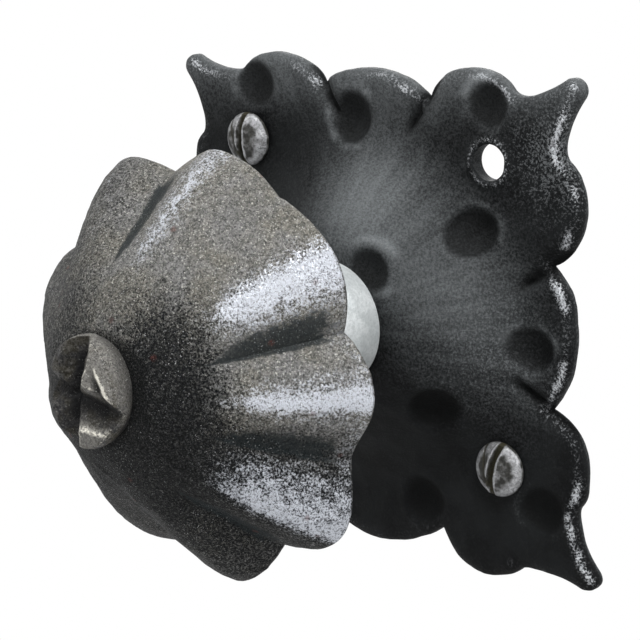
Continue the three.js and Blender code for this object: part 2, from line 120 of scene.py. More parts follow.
# Backplate section, holes and marks
PLATE_SHEET = 1.6
DOME_RISE = 7.9
DOME_SEAT_RADIUS = 8.5
DOME_FOOT_RADIUS = 23.6
HOLLOW_TOP_RADIUS = 7.5
HOLLOW_FOOT_RADIUS = 22.5
HOLLOW_HEIGHT = DOME_RISE
EDGE_HEIGHT = 0.75
EDGE_WANDER = 0.1
CREASE_DEPTH = 0.9
CREASE_LENGTH = 7.0
CREASE_WIDTH = 1.2
CRACK_DEPTH = 0.9
CRACK_WIDTH = 0.5
CRACK_FLOOR = 0.4
CREASE_TURN = math.radians(15)
CREASED = ((0, 1), (0, -1), (1, 1), (1, -1), (3, 1), (3, -1))
HOLE_RADIUS = 2.2
HOLE_SQUARE = HORN_REACH * 0.65
HOLES = (
    (HOLE_SQUARE - 1.0, HOLE_SQUARE + 0.8),
    (-HOLE_SQUARE - 0.5, HOLE_SQUARE + 1.3),
    (-HOLE_SQUARE, -HOLE_SQUARE + 0.3),
    (HOLE_SQUARE + 0.4, -HOLE_SQUARE + 1.7),
)
HOLE_BEVEL = 0.3
COLLARED_HOLES = (0, 2)
COLLAR_HEIGHT = 0.35
PUNCH_RADIUS = 4.3
PUNCH_STRETCH = 1.06
PUNCH_SOFTNESS = 0.08
LIP_HEIGHT = 0.09
LIP_WIDTH = 0.5
PUNCH_MARKS = (
    (-18.5, 27.3), (-2.8, 24.1), (17.8, 26.5), (16.2, 11.3), (5.7, 7.0), (23.9, -2.1),
    (12.5, -10.1), (7.4, -23.5), (25.1, -21.6), (-23.6, 3.0), (-12.5, -11.5),
)

# Net of the plate: how far its rings lie from the edge and from the holes, and its spacing
EDGE_RINGS = (0.12, 0.3, 0.55, 0.85, 1.2, 1.65)
HOLE_RINGS = (0.1, 0.25, 0.45, 0.7, 1.0, 1.35)
NET_SPACING = 0.5
NET_REACH = 34

# Pale patches of the plate, brushed iron and partly painted light on the dome's upper flank and
# right side: how strong, where, and how far they reach
HAZE_AND_LIGHT_SPOTS = ((0.4, (2, 15), 9), (0.26, (14, 5), 9.5), (0.2, (21, -5), 10), (0.1, (22, -12), 8))
GRIT_SPOTS = ((0.6, (28, 21), 7), (0.3, (20, -2), 9))

# Cap
CAP_SHEET = 1.7
RIM_HEIGHT = 32.0
CROWN_HEIGHT = 48.5
CROWN_FLAT_RADIUS = 6.6
CROWN_POWER = 1.3
RIM_POWER = 1.2
FLUTE_START = 0.16
FLUTE_FULL = 0.85
RIM_REACH = 25.0
FLUTE_DEPTH = 2.8
FLANK_COLUMNS = 28
SKIN_ROWS = 96
RIM_ROWS = 9
LINING_ROWS = 24

# Ridge angle, share of the reach, angle of the groove after it, share of the depth, how crisp
# the groove is, wear of the ridge with its painted highlight, how narrow the wear is after and
# before the ridge, and the painted shade on the flank turned from the light
FLUTES = (
    (-157, 1.0, -137, 1.0, 0.3, 0.15, 2, 2, 0.5),
    (-117, 0.99, -98, 1.0, 0.3, 0.1, 2, 2, 0.5),
    (-79, 1.044, -60, 1.18, 0.5, 0.12, 2, 4, 0.7),
    (-42, 1.064, -21, 1.0, 0.3, 0.8, 0.5, 5, 0.7),
    (-3, 1.0, 15, 1.07, 0.9, 1.0, 2.0, 3, 0.9),
    (35, 0.976, 58, 0.46, 0.8, 1.0, 3.2, 1.0, 0.1),
    (80, 0.984, 98, 1.14, 0.4, 0.6, 1.5, 3, 0.9),
    (117, 0.99, 146, 1.0, 0.4, 0.25, 2, 2, 0.8),
    (163, 0.99, 183, 1.0, 0.3, 0.2, 2, 2, 0.5),
)

# Rivet
HEAD_WIDTH = 10.2
HEAD_LENGTH = 12.6
HEAD_HEIGHT = 4.2
CHISEL_DEPTH = 2.3
CHISEL_ASIDE = 1.3
PETAL_HOLLOW = 0.6
PETAL_PLACE = (2.9, 0.9)
CHISEL_LOWER = 0.75
CUT_SOFTNESS = 0.16
# Turn of each cut, and the slopes of its two walls
CHISEL_CUTS = (
    (math.radians(81), 1.1, 1.05),
    (math.radians(-16.5), 1.0, 0.8),
)
# Steps to the points round a place that show how far the head bends there
BEND_STEPS = ((0.35, 0), (-0.35, 0), (0, 0.35), (0, -0.35))
TAIL_RADIUS = 6.4
TAIL_HEIGHT = 2.8

# Sleeve
SLEEVE_FOOT_RADIUS = 7.7
SLEEVE_TOP_RADIUS = 6.4
SLEEVE_FOOT_HEIGHT = 4.0

# Screws
SCREW_HEAD_RADIUS = 3.4
SCREW_HEAD_HEIGHT = 1.8
SCREW_SHANK_RADIUS = 1.75
SCREW_LENGTH = 16.0
SCREW_POINT = 4.0
SLOT_WIDTH = 0.8
SLOT_DEPTH = 1.0
SLOT_ASIDE = 0.35
THREAD_PITCH = 1.3
THREAD_DEPTH = 0.45
SCREWS = (
    ("screw_upper_left", 1, math.radians(90)),
    ("screw_lower_right", 3, math.radians(78)),
)

# Light and camera, in metres and degrees
KEY_PLACE = (0.28, -0.20, 0.52)
FILL_PLACE = (-0.40, -0.30, 0.25)
BEHIND_PLACE = (-0.25, 0.50, 0.25)
LAMP_AIM = (0, -0.02, 0)
SHADOW_PLACE = (-0.10, 0.04)
CAMERA_PLACE = (0.16882, -0.20981, 0.05776)
CAMERA_TURN = (77.611, 1.687, 40.101)
CAMERA_LENS = 123.81


# Numbers and points

def smooth(value, low, high):
    share = np.clip((value - low) / (high - low), 0, 1)
    return share * share * (3 - 2 * share)


def mix(a, b, share):
    return a + (b - a) * share


def bell(value, width):
    """1 where the value is 0, fading out over the width."""
    return np.exp(-((value / width) ** 2))


def full_turn(count):
    return np.linspace(0, 2 * math.pi, count, endpoint=False)


def rotated(points, angle):
    cosine, sine = math.cos(angle), math.sin(angle)
    x, y = points[..., 0], points[..., 1]
    return np.stack([x * cosine - y * sine, x * sine + y * cosine], -1)


def row_points(points):
    """Points with x, y and height in millimetres, in the model's axes and metres."""
    x, y, height = np.asarray(points, float).T
    return np.column_stack([x, -height, y]) * MM


def bumps(points, size, seed, octaves=3):
    """Smooth random lumps of the given size, between about -1 and 1, at each point."""
    offset = Vector((seed * 17.3, seed * 9.1, seed * 5.7))
    scale = 1 / size
    return np.array([
        noise.fractal(Vector(p) * scale + offset, 1.0, 2.0, octaves) for p in points
    ])


def hammer_faces(points, size, seed):
    """Shallow bowls side by side, as a round hammer leaves them: 0 in the middle, 1 between."""
    offset = Vector((seed * 3.1, seed * 7.9, seed * 2.3))
    scale = 1 / size
    near = np.array([noise.voronoi(Vector(p) * scale + offset)[0][:2] for p in points])
    return np.clip(near[:, 0] / np.maximum(near[:, 1], 1e-6), 0, 1) ** 2


def hammering(points, depth, faces, lumps, share, seed):
    """Height of hammer marks: broad faces, with a share of finer lumps, each of its size."""
    broad = hammer_faces(points, faces, seed) - 0.4
    return depth * (broad + share * bumps(points, lumps, seed + 2))


def with_height(flat, height=0.0):
    return np.column_stack([flat, np.broadcast_to(height, len(flat))])


# Meshes

def add_object(name, data, place=(0, 0, 0)):
    thing = bpy.data.objects.new(name, data)
    thing.location = place
    bpy.context.scene.collection.objects.link(thing)
    return thing


def build_mesh(name, points, faces, sharp):
    mesh = bpy.data.meshes.new(name)
    mesh.from_pydata(row_points(points).tolist(), [], faces)
    mesh.validate()
    mesh.shade_smooth()
    mesh.set_sharp_from_angle(angle=math.radians(sharp))
    return add_object(name, mesh)


def mark(piece, name, values):
    """Keeps one number, or one vector, for each point of a piece, for its finish to read."""
    values = np.asarray(values, float)
    kind, key = ("FLOAT_VECTOR", "vector") if values.ndim == 2 else ("FLOAT", "value")
    kept = piece.data.attributes.new(name, kind, "POINT")
    kept.data.foreach_set(key, values.astype(np.float32).ravel())


def mark_rows(piece, rows, kept, *names):
    """Keeps what was noted for each row: one number, or one for each of its points."""
    for name, values in zip(names, zip(*kept)):
        spread = [np.broadcast_to(value, len(rows[0])) for value in values]
        mark(piece, name, np.concatenate(spread))


def spots(points, table):
    """Soft round patches on the plate, laid over each other."""
    return sum(
        strength * bell(np.linalg.norm(points - place, axis=1), reach)
        for strength, place, reach in table
    )


def ring_faces(rows, columns, closed):
    """Quads between rows of points that each run once round the axis."""
    faces = []
    for row in range(rows if closed else rows - 1):
        after = (row + 1) % rows
        for column in range(columns):
            beside = (column + 1) % columns
            faces.append((
                row * columns + column,
                after * columns + column,
                after * columns + beside,
                row * columns + beside,
            ))
    return faces


def ring_row(radius, angles, height):
    """One row round the axis, at one height."""
    return np.column_stack([
        radius * np.cos(angles), radius * np.sin(angles), np.full(len(angles), height),
    ])


def turned_rows(profile, angles):
    """Rows for a turned shape, from pairs of radius and height."""
    return [ring_row(radius, angles, height) for radius, height in profile]


def capped_piece(name, rows, sharp):
    """Piece from open rows, closed with one face at each end."""
    columns = len(rows[0])
    faces = ring_faces(len(rows), columns, False)
    last = (len(rows) - 1) * columns
    faces.append(tuple(range(columns)))
    faces.append(tuple(range(last + columns - 1, last - 1, -1)))
    return build_mesh(name, np.vstack(rows), faces, sharp)


def stand_for(piece, finish, node):
    """Gives a piece its finish, and the place of one of the solids."""
    piece.data.materials.append(finish)
    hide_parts(node)
    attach(piece, "root")


# Backplate outline

def arc(centre, radius, start, end, steps):
    angles = np.linspace(start, end, steps + 1)
    return np.column_stack([
        centre[0] + radius * np.cos(angles),
        centre[1] + radius * np.sin(angles),
    ])


def notch_point():
    """Where the middle lobe's circle meets the side lobe's."""
    across = SIDE_LOBE - MIDDLE_LOBE
    apart = np.linalg.norm(across)
    along = (MIDDLE_LOBE_RADIUS**2 - SIDE_LOBE_RADIUS**2 + apart**2) / (2 * apart)
    off = math.sqrt(MIDDLE_LOBE_RADIUS**2 - along**2)
    direction = across / apart
    return MIDDLE_LOBE + direction * along + np.array([-direction[1], direction[0]]) * off


def neck_curve(start, end, steps):
    """The curve that leads from the side lobe into the horn."""
    leaving = np.array([math.sin(SIDE_LOBE_END), -math.cos(SIDE_LOBE_END)])
    arriving = np.array([math.sin(HORN_END_START), -math.cos(HORN_END_START)])
    first = start + leaving * NECK_PULL_LOBE
    second = end - arriving * NECK_PULL_HORN
    t = np.linspace(0, 1, steps + 1)[:, None]
    return (
        (1 - t) ** 3 * start
        + 3 * (1 - t) ** 2 * t * first
        + 3 * (1 - t) * t**2 * second
        + t**3 * end
    )


def outline_eighth(fineness):
    """From the crest of the upper lobe to the diagonal."""
    notch = notch_point()
    horn = (HORN_REACH, HORN_REACH)
    middle_end = math.atan2(*(notch - MIDDLE_LOBE)[::-1])
    side_start = math.atan2(*(notch - SIDE_LOBE)[::-1])
    first = arc(MIDDLE_LOBE, MIDDLE_LOBE_RADIUS, math.pi / 2, middle_end, 3 * fineness)
    second = arc(SIDE_LOBE, SIDE_LOBE_RADIUS, side_start, SIDE_LOBE_END, 5 * fineness)
    last = arc(horn, HORN_END_RADIUS, HORN_END_START, math.pi / 4, 2 * fineness)
    neck = neck_curve(second[-1], last[0], 3 * fineness)
    return np.vstack([first, second[1:], neck[1:], last[1:]])


def to_side(points, side):
    """Points drawn for the upper side, moved to another side of the plate."""
    return rotated(points, side * math.pi / 2)


def hand_pushes():
    """Where each blow fell, and how far it moved the edge."""
    coarse = outline_eighth(1)
    stations = {
        "crest": coarse[0],
        "notch": notch_point(),
        "lobe": SIDE_LOBE + (0, SIDE_LOBE_RADIUS),
        "neck": coarse[9],
        "horn": coarse[-1],
    }
    pushes = []
    for side, station, half, by in HAND_WORK:
        place = stations[station] * (half, 1)
        pushes.append((to_side(place, side), np.array(by)))
    return pushes


def hand_worked(points):
    """Points of the regular outline, moved by the blows near them."""
    moved = np.array(points, float)
    for at, by in hand_pushes():
        away = np.linalg.norm(points - at, axis=-1)
        moved += bell(away, HAND_REACH)[..., None] * by
    return moved


def plate_outline(fineness=9):
    """The whole edge, anticlockwise from the upper crest."""
    eighth = outline_eighth(fineness)
    going = np.column_stack([-eighth[:, 0], eighth[:, 1]])
    coming = np.column_stack([-eighth[:, 1], eighth[:, 0]])[-2:0:-1]
    quarter = np.vstack([going, coming])
    regular = np.vstack([to_side(quarter, side) for side in range(4)])
    edge = hand_worked(regular)
    outward = edge / np.linalg.norm(edge, axis=1)[:, None]
    return edge + outward * EDGE_WANDER * bumps(with_height(edge), 2.5, 2)[:, None]


def along_creases(points):
    """For each hammered crease, how far the points lie along it and off it."""
    notch = notch_point()
    for side, half in CREASED:
        start = notch * (half, 1)
        inward = rotated(-start / np.linalg.norm(start), -half * CREASE_TURN)
        line = to_side(inward, side)
        away = points - hand_worked(to_side(start, side))
        yield np.abs(away @ line), away[:, 0] * line[1] - away[:, 1] * line[0]


# Backplate surface

def dome_height(points):
    """The plate's front, without creases and marks."""
    reach = np.hypot(points[:, 0], points[:, 1])
    return PLATE_SHEET + DOME_RISE * (1 - smooth(reach, DOME_SEAT_RADIUS, DOME_FOOT_RADIUS))


def front_height(points):
    """The plate's front with its creases, and the fine crack at the bottom of each."""
    height = dome_height(points)
    for along, off in along_creases(points):
        crease = CREASE_DEPTH * bell(off, CREASE_WIDTH) * (1 - smooth(along, 0, CREASE_LENGTH))
        crack = 1 - smooth(along, 0.5 * CREASE_LENGTH, CREASE_LENGTH)
        crack = crack * CRACK_DEPTH * bell(off, CRACK_WIDTH)
        height = np.maximum(height - crease - crack, CRACK_FLOOR)
    return height


def hollow_height(points):
    """The plate's back, hollow under the dome."""
    reach = np.hypot(points[:, 0], points[:, 1])
    return HOLLOW_HEIGHT * (1 - smooth(reach, HOLLOW_TOP_RADIUS, HOLLOW_FOOT_RADIUS))


def edge_distance(points, edge):
    """Distance of each point from a closed line, and whether it lies inside it."""
    step = np.roll(edge, -1, 0) - edge
    length = np.sum(step**2, 1)
    rise = np.where(step[:, 1] == 0, 1e-12, step[:, 1])
    nearest = []
    inside = []
    # In parts of 2000 points, to spare memory
    for low in range(0, len(points), 2000):
        part = points[low:low + 2000, None]
        away = part - edge
        share = np.clip(np.sum(away * step, 2) / length, 0, 1)
        gap = away - share[..., None] * step
        nearest.append(np.sqrt(np.sum(gap**2, 2)).min(1))
        x, y = part[..., 0], part[..., 1]
        spans = (edge[:, 1] > y) != (edge[:, 1] + step[:, 1] > y)
        crossing = edge[:, 0] + (y - edge[:, 1]) * step[:, 0] / rise
        inside.append(np.sum(spans & (x < crossing), 1) % 2 == 1)
    return np.concatenate(nearest), np.concatenate(inside)


def plate_loops(edge):
    """Closed lines of the plate: its edge, the bore and the four screw holes."""
    loops = [edge]
    circle = full_turn(72)
    for centre, radius in [((0.0, 0.0), BORE_RADIUS)] + [(hole, HOLE_RADIUS) for hole in HOLES]:
        loops.append(ring_row(radius, circle, 0)[:, :2] + centre)
    return loops


def centre_and_radius(loop):
    centre = loop.mean(0)
    return centre, np.linalg.norm(loop[0] - centre)


def plate_points(loops):
    """Points inside the plate, in rings near its edges and in a close net elsewhere."""
    edge = loops[0]
    points = []
    before, after = np.roll(edge, 1, 0), np.roll(edge, -1, 0)
    along = after - before
    inward = np.column_stack([-along[:, 1], along[:, 0]])
    inward /= np.linalg.norm(inward, axis=1)[:, None]
    for depth in EDGE_RINGS:
        ring = edge + inward * depth
        gap, inside = edge_distance(ring, edge)
        points.append(ring[inside & (gap > depth * 0.96)])
    for loop in loops[1:]:
        centre, radius = centre_and_radius(loop)
        for step in HOLE_RINGS:
            points.append(centre + (loop - centre) * (radius + step) / radius)
    across = np.arange(-NET_REACH, NET_REACH, NET_SPACING)
    net = []
    for i, y in enumerate(np.arange(-NET_REACH, NET_REACH, NET_SPACING * 0.866)):
        net.append(np.column_stack([across + NET_SPACING / 2 * (i % 2), np.full(len(across), y)]))
    net = np.vstack(net)
    gap, inside = edge_distance(net, edge)
    keep = inside & (gap > EDGE_RINGS[-1] + 0.3)
    for loop in loops[1:]:
        centre, radius = centre_and_radius(loop)
        keep &= np.linalg.norm(net - centre, axis=1) > radius + HOLE_RINGS[-1] + 0.25
    points.append(net[keep])
    return np.vstack(points)


def plate_net(loops, inner):
    """Triangles over the plate, with the loops as its borders."""
    points = np.vstack(loops + [inner])
    borders = []
    start = 0
    for loop in loops:
        count = len(loop)
        borders += [(start + i, start + (i + 1) % count) for i in range(count)]
        start += count
    found, _, faces, *_ = delaunay_2d_cdt([Vector(p) for p in points], borders, [], 0, 1e-6)
    if len(found) != len(points):
        raise ValueError("the plate's net lost a point")
    centres = np.array([np.mean([points[i] for i in face], 0) for face in faces])
    _, inside = edge_distance(centres, loops[0])
    for loop in loops[1:]:
        centre, radius = centre_and_radius(loop)
        inside &= np.linalg.norm(centres - centre, axis=1) > radius
    return points, [tuple(face) for face, good in zip(faces, inside) if good]


def dent(points, place, depth):
    """Presses a ball into the surface at a place, with a soft rim and a low lip round it.
    Gives the new points, how deep each was pressed, and its share of the lip."""
    step = 0.5
    x, y = place
    probe = np.array([(x, y), (x + step, y), (x - step, y), (x, y + step), (x, y - step)])
    heights = front_height(probe)
    normal = np.array([
        (heights[2] - heights[1]) / (2 * step),
        (heights[4] - heights[3]) / (2 * step),
        1.0,
    ])
    normal /= np.linalg.norm(normal)
    centre = np.array([x, y, heights[0]]) + normal * (PUNCH_RADIUS - depth)
    away = (points - centre) / (PUNCH_STRETCH, 1, 1)
    axial = away @ normal
    across = np.sqrt(np.maximum(np.sum(away**2, 1) - axial**2, 0))
    reach = math.sqrt(PUNCH_RADIUS**2 - (PUNCH_RADIUS - depth) ** 2)
    bowl = axial + np.sqrt(np.maximum(PUNCH_RADIUS**2 - across**2, 0))
    bowl = np.where(across < PUNCH_RADIUS, bowl, -PUNCH_RADIUS)
    press = PUNCH_SOFTNESS * np.logaddexp(0, bowl / PUNCH_SOFTNESS)
    lip = bell(across - reach - LIP_WIDTH, LIP_WIDTH)
    return points - normal * (press - LIP_HEIGHT * lip)[:, None], press, lip


def plate_front(flat, gap, settings):
    """The front of the plate, how much painted shade darkens its creases, cracks and dents, and
    where the dents' low lips are.
    """
    height = front_height(flat)
    # Painted shade where the creases sink in, and along their cracks
    dirt_and_shade = 0.8 * smooth(dome_height(flat) - height, 0.35, 0.9)
    for along, off in along_creases(flat):
        crack = 1 - smooth(along, 0.6 * CREASE_LENGTH, CREASE_LENGTH)
        width = CRACK_WIDTH * mix(1.8, 0.8, along / CREASE_LENGTH)
        dirt_and_shade = np.maximum(dirt_and_shade, crack * bell(off, width))
    lips = np.zeros(len(flat))
    level = with_height(flat)
    clear = smooth(np.hypot(flat[:, 0], flat[:, 1]), DOME_SEAT_RADIUS, DOME_SEAT_RADIUS + 2)
    height = height + clear * hammering(level, settings.hammer_depth / MM, 5.5, 1.6, 0.25, 4)
    for corner in COLLARED_HOLES:
        away = np.linalg.norm(flat - HOLES[corner], axis=1)
        burr = COLLAR_HEIGHT * (1 - smooth(away, HOLE_RADIUS + 0.3, HOLE_RADIUS + 1.3))
        height = height + burr * (1 + 0.5 * bumps(level, 1.8, 8, 2))
    for hole in HOLES:
        away = np.linalg.norm(flat - hole, axis=1)
        height = height - HOLE_BEVEL * (1 - smooth(away, HOLE_RADIUS, HOLE_RADIUS + HOLE_BEVEL))
    points = with_height(flat, height)
    for number, place in enumerate(PUNCH_MARKS):
        depth = settings.dent_depth / MM * (1 + 0.12 * math.sin(number * 2.3))
        points, press, lip = dent(points, place, depth)
        # Painted shade in the dent
        dirt_and_shade = np.maximum(dirt_and_shade, 0.82 * smooth(press, 0.06, 0.5))
        lips = np.maximum(lips, lip)
    width = settings.edge_width / MM * (1 + 0.25 * bumps(level, 4, 9, 2))
    inner = np.clip(1 - gap / width, 0, 1)
    drop = 1 - np.sqrt(1 - inner**2)
    points[:, 2] *= 1 - drop * (1 - EDGE_HEIGHT / PLATE_SHEET)
    return points, dirt_and_shade, lips


def rubbed_and_lit_edge(flat, gap):
    """Where hands and cloths rub, just inside the edge, with a painted highlight that is strongest
    on the side facing right and up, towards the lamp.
    """
    step = 0.4
    edge = plate_outline()
    slope = []
    for x, y in ((step, 0), (0, step)):
        further, inside = edge_distance(flat + (x, y), edge)
        slope.append(np.where(inside, further, -further) - gap)
    # How far the edge faces right and up, where the painted highlight is strongest
    facing = -(0.95 * slope[0] + 0.3 * slope[1]) / step
    level = with_height(flat)
    wander = 0.3 * bumps(level, 3, 16, 2)
    band = 0.7 * bell(gap - 0.85 - wander, 0.55)
    patchy = smooth(bumps(level, 5, 14), -0.35, 0.3)
    return band * (0.2 + 0.8 * smooth(facing, 0.1, 0.9)) * (0.25 + 0.75 * patchy)


def backplate(settings):
    edge = plate_outline()
    loops = plate_loops(edge)
    flat, faces = plate_net(loops, plate_points(loops))
    gap, _ = edge_distance(flat, edge)
    front, dirt_and_shade, lips = plate_front(flat, gap, settings)
    back = with_height(flat, hollow_height(flat))
    count = len(flat)
    all_faces = list(faces)
    all_faces += [tuple(count + i for i in reversed(face)) for face in faces]
    start = 0
    for number, loop in enumerate(loops):
        size = len(loop)
        for i in range(size):
            a = start + i
            b = start + (i + 1) % size
            wall = (a, a + count, b + count, b)
            all_faces.append(wall if number == 0 else wall[::-1])
        start += size
    piece = build_mesh("backplate_forged", np.vstack([front, back]), all_faces, 50)
    none = np.zeros(count)
    # Hazy brushing, partly painted light where the lamp falls on the dome's upper flank and right
    # side
    haze_and_light = spots(flat, HAZE_AND_LIGHT_SPOTS)
    # Painted light: the plate is paler towards its top
    haze_and_light += 0.36 * smooth(flat[:, 1], 20, 31) + 0.13 * smooth(flat[:, 1], -14, 6)
    haze_and_light += 0.22 * lips * smooth(bumps(with_height(flat), 4, 15), -0.1, 0.5)
    grit = spots(flat, GRIT_SPOTS) + 0.08
    reach = np.maximum(np.hypot(flat[:, 0], flat[:, 1]), 1)
    swept = np.column_stack([
        flat[:, 0] / reach * 16, flat[:, 1] / reach * 16, reach * 0.13,
    ])
    behind = mix(0.12, 0.34, smooth(reach, 8, 24)) + 0.1 * smooth(reach, 24, 34)
    mark(piece, "haze_and_light", np.concatenate([np.clip(haze_and_light, 0, 1), behind]))
    # Rubbed edge, with a painted highlight on its side facing right and up
    wear_and_highlight = rubbed_and_lit_edge(flat, gap)
    for corner in COLLARED_HOLES:
        away = np.linalg.norm(flat - HOLES[corner], axis=1)
        wear_and_highlight = np.maximum(wear_and_highlight, 0.35 * bell(away - HOLE_RADIUS - 0.55, 0.3))
    mark(piece, "grit", np.concatenate([np.clip(grit, 0, 1), none + 0.3]))
    mark(piece, "wear_and_highlight", np.concatenate([wear_and_highlight, none]))
    # Painted shade of the dents, creases and cracks
    mark(piece, "dirt_and_shade", np.concatenate([0.92 * dirt_and_shade, none]))
    mark(piece, "swept", np.vstack([swept, swept]))
    return piece


# Cap

def cap_columns(steps):
    """For each column round the cap: angle, reach of the rim, depth of the fluting, wear with its
    painted highlight, strength of the painted shade, and how near it is to the groove, on the flank
    that gets the painted shade."""
    columns = []
    for number, flute in enumerate(FLUTES):
        ridge, reach, groove, depth, crisp, wear, narrowness, _, flank_shade = flute
        next_ridge, next_reach, *_, next_wear, _, next_narrowness, _ = FLUTES[
            (number + 1) % len(FLUTES)
        ]
        if next_ridge < ridge:
            next_ridge += 360
        for k in range(2 * steps):
            falling = k < steps
            share = k / steps if falling else (k - steps) / steps
            angle = mix(ridge, groove, share) if falling else mix(groove, next_ridge, share)
            straight = share if falling else 1 - share
            rounded = (1 - math.cos(math.pi * straight)) / 2
            curve = mix(mix(straight, rounded, 0.8), straight**1.9, crisp)
            if falling:
                rubbed = wear * (1 - straight) ** narrowness
            else:
                rubbed = next_wear * (1 - straight) ** next_narrowness
            # The painted shade lies on the flank of each groove that is turned from the light
            shaded = falling == (angle > 90)
            near_groove = straight if shaded else straight**5
            columns.append((
                math.radians(angle),
                RIM_REACH * mix(reach, next_reach, smooth(k, 0, 2 * steps)),
                FLUTE_DEPTH * depth * curve,
                rubbed,
                flank_shade,
                near_groove,
            ))
    return np.array(columns).T


def cap_row(columns, turn, inside):
    """Row of the cap's skin. The turn goes from 0 at the crown to a right angle at the rim,
    and the skin lies the given distance inside the outer one."""
    angles, reaches, depths = columns[:3]
    base = RIM_HEIGHT + CAP_SHEET / 2
    out = math.sin(turn) ** (2 / CROWN_POWER)
    up = abs(math.cos(turn)) ** (2 / RIM_POWER)
    fluted = float(smooth(out, FLUTE_START, FLUTE_FULL))
    radius = mix(CROWN_FLAT_RADIUS, reaches - inside, out) - depths * fluted
    height = mix(base, CROWN_HEIGHT - inside, up)
    return ring_row(radius, angles, height)


def row_normals(net):
    """Outward normals of a net of rows that run round the axis."""
    down = np.gradient(net, axis=0)
    along = np.roll(net, -1, 1) - np.roll(net, 1, 1)
    normals = np.cross(down, along)
    length = np.linalg.norm(normals, axis=2)[..., None]
    return normals / np.maximum(length, 1e-9)


def knob_cap(settings):
    columns = cap_columns(FLANK_COLUMNS)
    angles = columns[0]
    turns = np.radians(np.linspace(0, 90, SKIN_ROWS))
    outer = np.array([cap_row(columns, turn, 0) for turn in turns])
    flat = outer.reshape(-1, 3)
    clear = smooth(flat[:, 2], CROWN_HEIGHT, CROWN_HEIGHT - 1.5)
    moved = clear * hammering(flat, settings.hammer_depth / MM, 5.0, 1.5, 0.3, 3)
    skin = outer + row_normals(outer) * moved.reshape(outer.shape[:2])[..., None]
    rows = [ring_row(BORE_RADIUS, angles, CROWN_HEIGHT)]
    rows += list(skin)
    for part in np.radians(np.linspace(18, 162, RIM_ROWS)):
        inside = CAP_SHEET / 2 * (1 - math.cos(part))
        row = cap_row(columns, math.pi / 2, inside)
        row[:, 2] -= CAP_SHEET / 2 * math.sin(part)
        share = (1 + math.cos(part)) / 2
        row[:, :2] += (skin[-1] - outer[-1])[:, :2] * share
        rows.append(row)
    for turn in np.radians(np.linspace(90, 0, LINING_ROWS)):
        rows.append(cap_row(columns, turn, CAP_SHEET))
    rows.append(ring_row(BORE_RADIUS, angles, CROWN_HEIGHT - CAP_SHEET))
    faces = ring_faces(len(rows), len(angles), True)
    piece = build_mesh("cap_forged", np.vstack(rows), faces, 50)
    paint_cap(piece, rows, turns, columns)
    return piece


def paint_cap(piece, rows, turns, columns):
    """Marks where the cap is rubbed grey, with painted light on its upper side; rubbed bright, with
    a painted highlight on the ridges and rim that face the light; darkened by painted shade on the
    flanks; and the way it was brushed.
    """
    angles, _, _, rubbed, flank_shade, near_groove = columns
    wear_and_highlight = np.zeros((len(rows), len(angles)))
    dirt_and_shade = np.zeros_like(wear_and_highlight)
    rubbed_and_lit_grey = np.zeros_like(wear_and_highlight)
    along = np.zeros(len(rows))
    # Rubbed grey, partly painted light: the upper side of the cap is painted lighter, as the lamp
    # above lights it, and the left less
    side = np.sin(angles + math.radians(14))
    high = 0.24 + 0.46 * smooth(side, -0.3, 0.2)
    high *= 1 - 0.45 * smooth(-np.cos(angles), -0.1, 0.8) * smooth(side, -0.3, 0.2)
    # Painted highlight on the rim where it faces right, towards the lamp
    highlight_side = smooth(np.cos(angles), 0.6, 0.95)
    above = smooth(np.sin(angles - math.radians(30)), -0.2, 0.9)
    for row, turn in enumerate(turns, 1):
        out = math.sin(turn) ** (2 / CROWN_POWER)
        near_rim = smooth(out, 0.88, 0.98)
        begins = mix(0.22, 0.12, smooth(np.sin(angles), 0.7, 0.9))
        bright = rubbed * smooth(out, begins, begins + 0.45)
        # Ridge wear, strongest on the ridges that face the light, with a painted highlight there and
        # on the rim
        wear_and_highlight[row] = np.maximum(bright, 0.38 * near_rim * highlight_side)
        # Painted shade on the flank, spreading wider towards the rim
        start = mix(1.0, 0.5, smooth(out, 0.28, 0.62))
        dark = smooth(near_groove, start - 0.12, start + 0.32)
        dirt_and_shade[row] = flank_shade * dark * (1 - 0.7 * near_rim)
        # Painted light: near the crown only the part above the rivet is painted lighter
        clear = mix(smooth(out, 0.15, 0.85), smooth(out, 0.1, 0.6), smooth(side, -0.3, 0.2))
        rub_and_top_light = high * mix(0.82, 1, smooth(out, 0.1, 0.5))
        rubbed_and_lit_grey[row] = rub_and_top_light * (1 - (1 - clear) * (1 - above))
        along[row] = out
    # The outer half of the rim shares the look of the skin's last row
    rim = slice(SKIN_ROWS + 1, SKIN_ROWS + 1 + (RIM_ROWS + 1) // 2)
    wear_and_highlight[rim] = 0.6 * wear_and_highlight[SKIN_ROWS]
    dirt_and_shade[rim] = 0.5 * dirt_and_shade[SKIN_ROWS]
    # The inside of the cap is darkened a little
    dirt_and_shade[SKIN_ROWS + 1 + RIM_ROWS:] = 0.25
    along[SKIN_ROWS + 1:] = 1
    rubbed_and_lit_grey[SKIN_ROWS + 1:] = 0.35
    rubbed_and_lit_grey[rim] = 0.8 * high
    swept = np.stack([
        np.cos(angles) * (8 + 14 * along[:, None]),
        np.sin(angles) * (8 + 14 * along[:, None]),
        np.broadcast_to(along[:, None] * -8, wear_and_highlight.shape),
    ], -1)
    mark(piece, "wear_and_highlight", np.clip(wear_and_highlight, 0, 1).ravel())
    mark(piece, "dirt_and_shade", np.clip(dirt_and_shade, 0, 1).ravel())
    mark(piece, "rubbed", np.clip(rubbed_and_lit_grey, 0, 1).ravel())
    mark(piece, "swept", swept.reshape(-1, 3))


# Rivet

